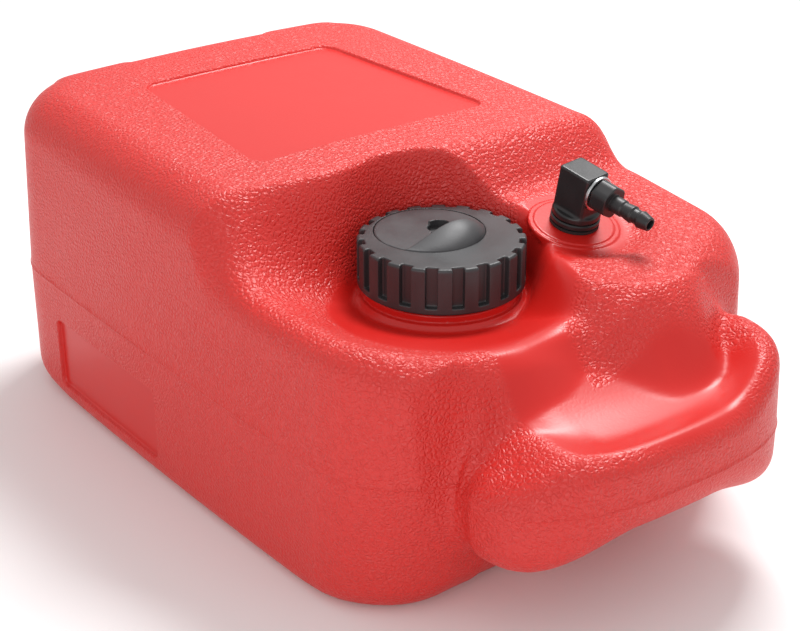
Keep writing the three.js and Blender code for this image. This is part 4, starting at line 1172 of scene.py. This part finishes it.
def bright_metal():
    """Plain steel with turning marks."""
    material, tree, shader = new_material("steel_bright", steel_grey, steel_roughness, 1.0)
    marks = noise(tree, marks_scale, marks_detail, marks_stretch)
    tree.links.new(ranged(tree, marks, noise_span, marks_gloss), shader.inputs["Roughness"])
    bumped(tree, shader, marks, marks_length, marks_strength)
    return material


def grain_and_sheen_shares(points):
    """1 where the tank's skin has its leather grain and 0 where it is smooth; the same share makes the
    grained skin paler as painted sheen.
    """
    x, y, z = points.T
    round_filler = np.hypot(x - smooth_middle_x, y - smooth_middle_y) - smooth_radius
    along = np.clip((y - bowl_center_y) / (smooth_middle_y - bowl_center_y), 0, 1)
    spine_x = mix(bowl_center_x - overrun, smooth_middle_x, along)
    spine_y = mix(bowl_center_y, smooth_middle_y, along)
    corridor = np.hypot(x - spine_x, y - spine_y) - corridor_half_width
    across = (x - web_smooth_x) / web_smooth_half_width
    web_reach = np.hypot(across, (y - web_smooth_y) / web_smooth_half_length)
    web = (web_reach - 1) * web_smooth_half_length
    outlet = np.hypot(x - outlet_x, y - outlet_y) - outlet_shelf_radius - overrun
    smooth = np.minimum(np.minimum(round_filler, corridor), np.minimum(web, outlet))
    smooth = np.where(z > parting_height, smooth, overrun)
    grain = rise(-overrun / 2, overrun, smooth)
    on_top = z > top_height - top_edge_radius
    grain = grain * (1 - np.where(on_top, sunk(panel_distance(x, y)), 0))
    on_left = x < -body_half_width + top_edge_radius
    return grain * (1 - np.where(on_left, sunk(plate_distance(y, z)), 0))


def shade(made, material, angle=None):
    """Gives a piece its material and smooth shading, with edges sharper than the angle kept."""
    mesh = made.data
    mesh.materials.clear()
    mesh.materials.append(material)
    mesh.polygons.foreach_set("use_smooth", [True] * len(mesh.polygons))
    if angle:
        mesh.set_sharp_from_angle(angle=math.radians(angle))


grain = tank_body.data.attributes.new("grain", "FLOAT", "POINT")
grain.data.foreach_set("value", grain_and_sheen_shares(points_of(tank_body.data)))
fitting_black = moulded(*fitting_dark)
rubber = moulded(*seal_dark)
steel = bright_metal()
shade(tank_body, red_plastic())
shade(cap_form, moulded(*cap_charcoal), piece_edge_angle)
shade(dial_form, moulded(*dial_charcoal), piece_edge_angle)
shade(elbow_form, fitting_black, piece_edge_angle)
shade(barb_form, fitting_black, piece_edge_angle)
shade(washer_form, steel, piece_edge_angle)
shade(bush_form, fitting_black, ring_edge_angle)
shade(bush_seal_form, rubber, ring_edge_angle)
node_materials = {
    "cap_gasket": rubber,
    "vent_dial_seal": rubber,
    "vent_dial_clip": steel,
    "bush_lock_nut": fitting_black,
    "elbow_seal": rubber,
    "pickup_tube": moulded(*tube_natural),
    "strainer_cage": fitting_black,
    "strainer_screen": steel,
    "strainer_plug": fitting_black,
}
for name, material in node_materials.items():
    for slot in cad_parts[name].material_slots:
        slot.material = material


# Stage, light and camera; the camera's lengths are in millimetres
camera_azimuth = math.radians(-37.2)
camera_elevation = math.radians(25.6)
camera_distance = 959.2
camera_target = (-9.8, -18.6, 82.4)
focal_pixels = 1850.8
image_width = 800
sensor_width = 36.0
world_strength = 0.66
floor_half_size = 4.0

# Each light's name, place and target in metres, its size in metres and its power in watts
lights = (
    ("overhead", (0.5, 0.25, 1.1), (0, 0, 0.1), (0.5, 0.4), 13),
    ("front_fill", (-1.0, -0.8, 0.5), (0, 0, 0.08), (0.6, 0.6), 3),
)


def look_at(made, place, target):
    made.location = place
    made.rotation_euler = (Vector(target) - Vector(place)).to_track_quat("-Z", "Y").to_euler()


def add_camera():
    away = Vector((
        math.sin(camera_azimuth) * math.cos(camera_elevation),
        -math.cos(camera_azimuth) * math.cos(camera_elevation),
        math.sin(camera_elevation),
    ))
    target = Vector(np.array(camera_target) + frame_shift) * MM
    data = bpy.data.cameras.new("camera")
    data.sensor_width = sensor_width
    data.lens = focal_pixels / image_width * sensor_width
    camera = placed("camera", data)
    look_at(camera, target + away * camera_distance * MM, target)
    bpy.context.scene.camera = camera


def add_floor():
    size = floor_half_size
    points = [(-size, -size, 0), (size, -size, 0), (size, size, 0), (-size, size, 0)]
    mesh = bpy.data.meshes.new("floor")
    mesh.from_pydata(points, [], [(0, 1, 2, 3)])
    mesh.materials.append(new_material("floor_white", floor_white, floor_roughness)[0])
    placed("floor", mesh)


def add_light(name, place, target, size, power):
    data = bpy.data.lights.new(name, "AREA")
    data.shape = "RECTANGLE"
    data.size, data.size_y = size
    data.energy = power
    look_at(placed(name, data), place, target)


def add_world():
    world = bpy.data.worlds.new("studio")
    bpy.context.scene.world = world
    world.use_nodes = True
    sky = world.node_tree.nodes["Background"]
    sky.inputs["Color"].default_value = (1, 1, 1, 1)
    sky.inputs["Strength"].default_value = world_strength
    bpy.context.scene.view_settings.view_transform = "Standard"


add_camera()
add_floor()
for light in lights:
    add_light(*light)
add_world()
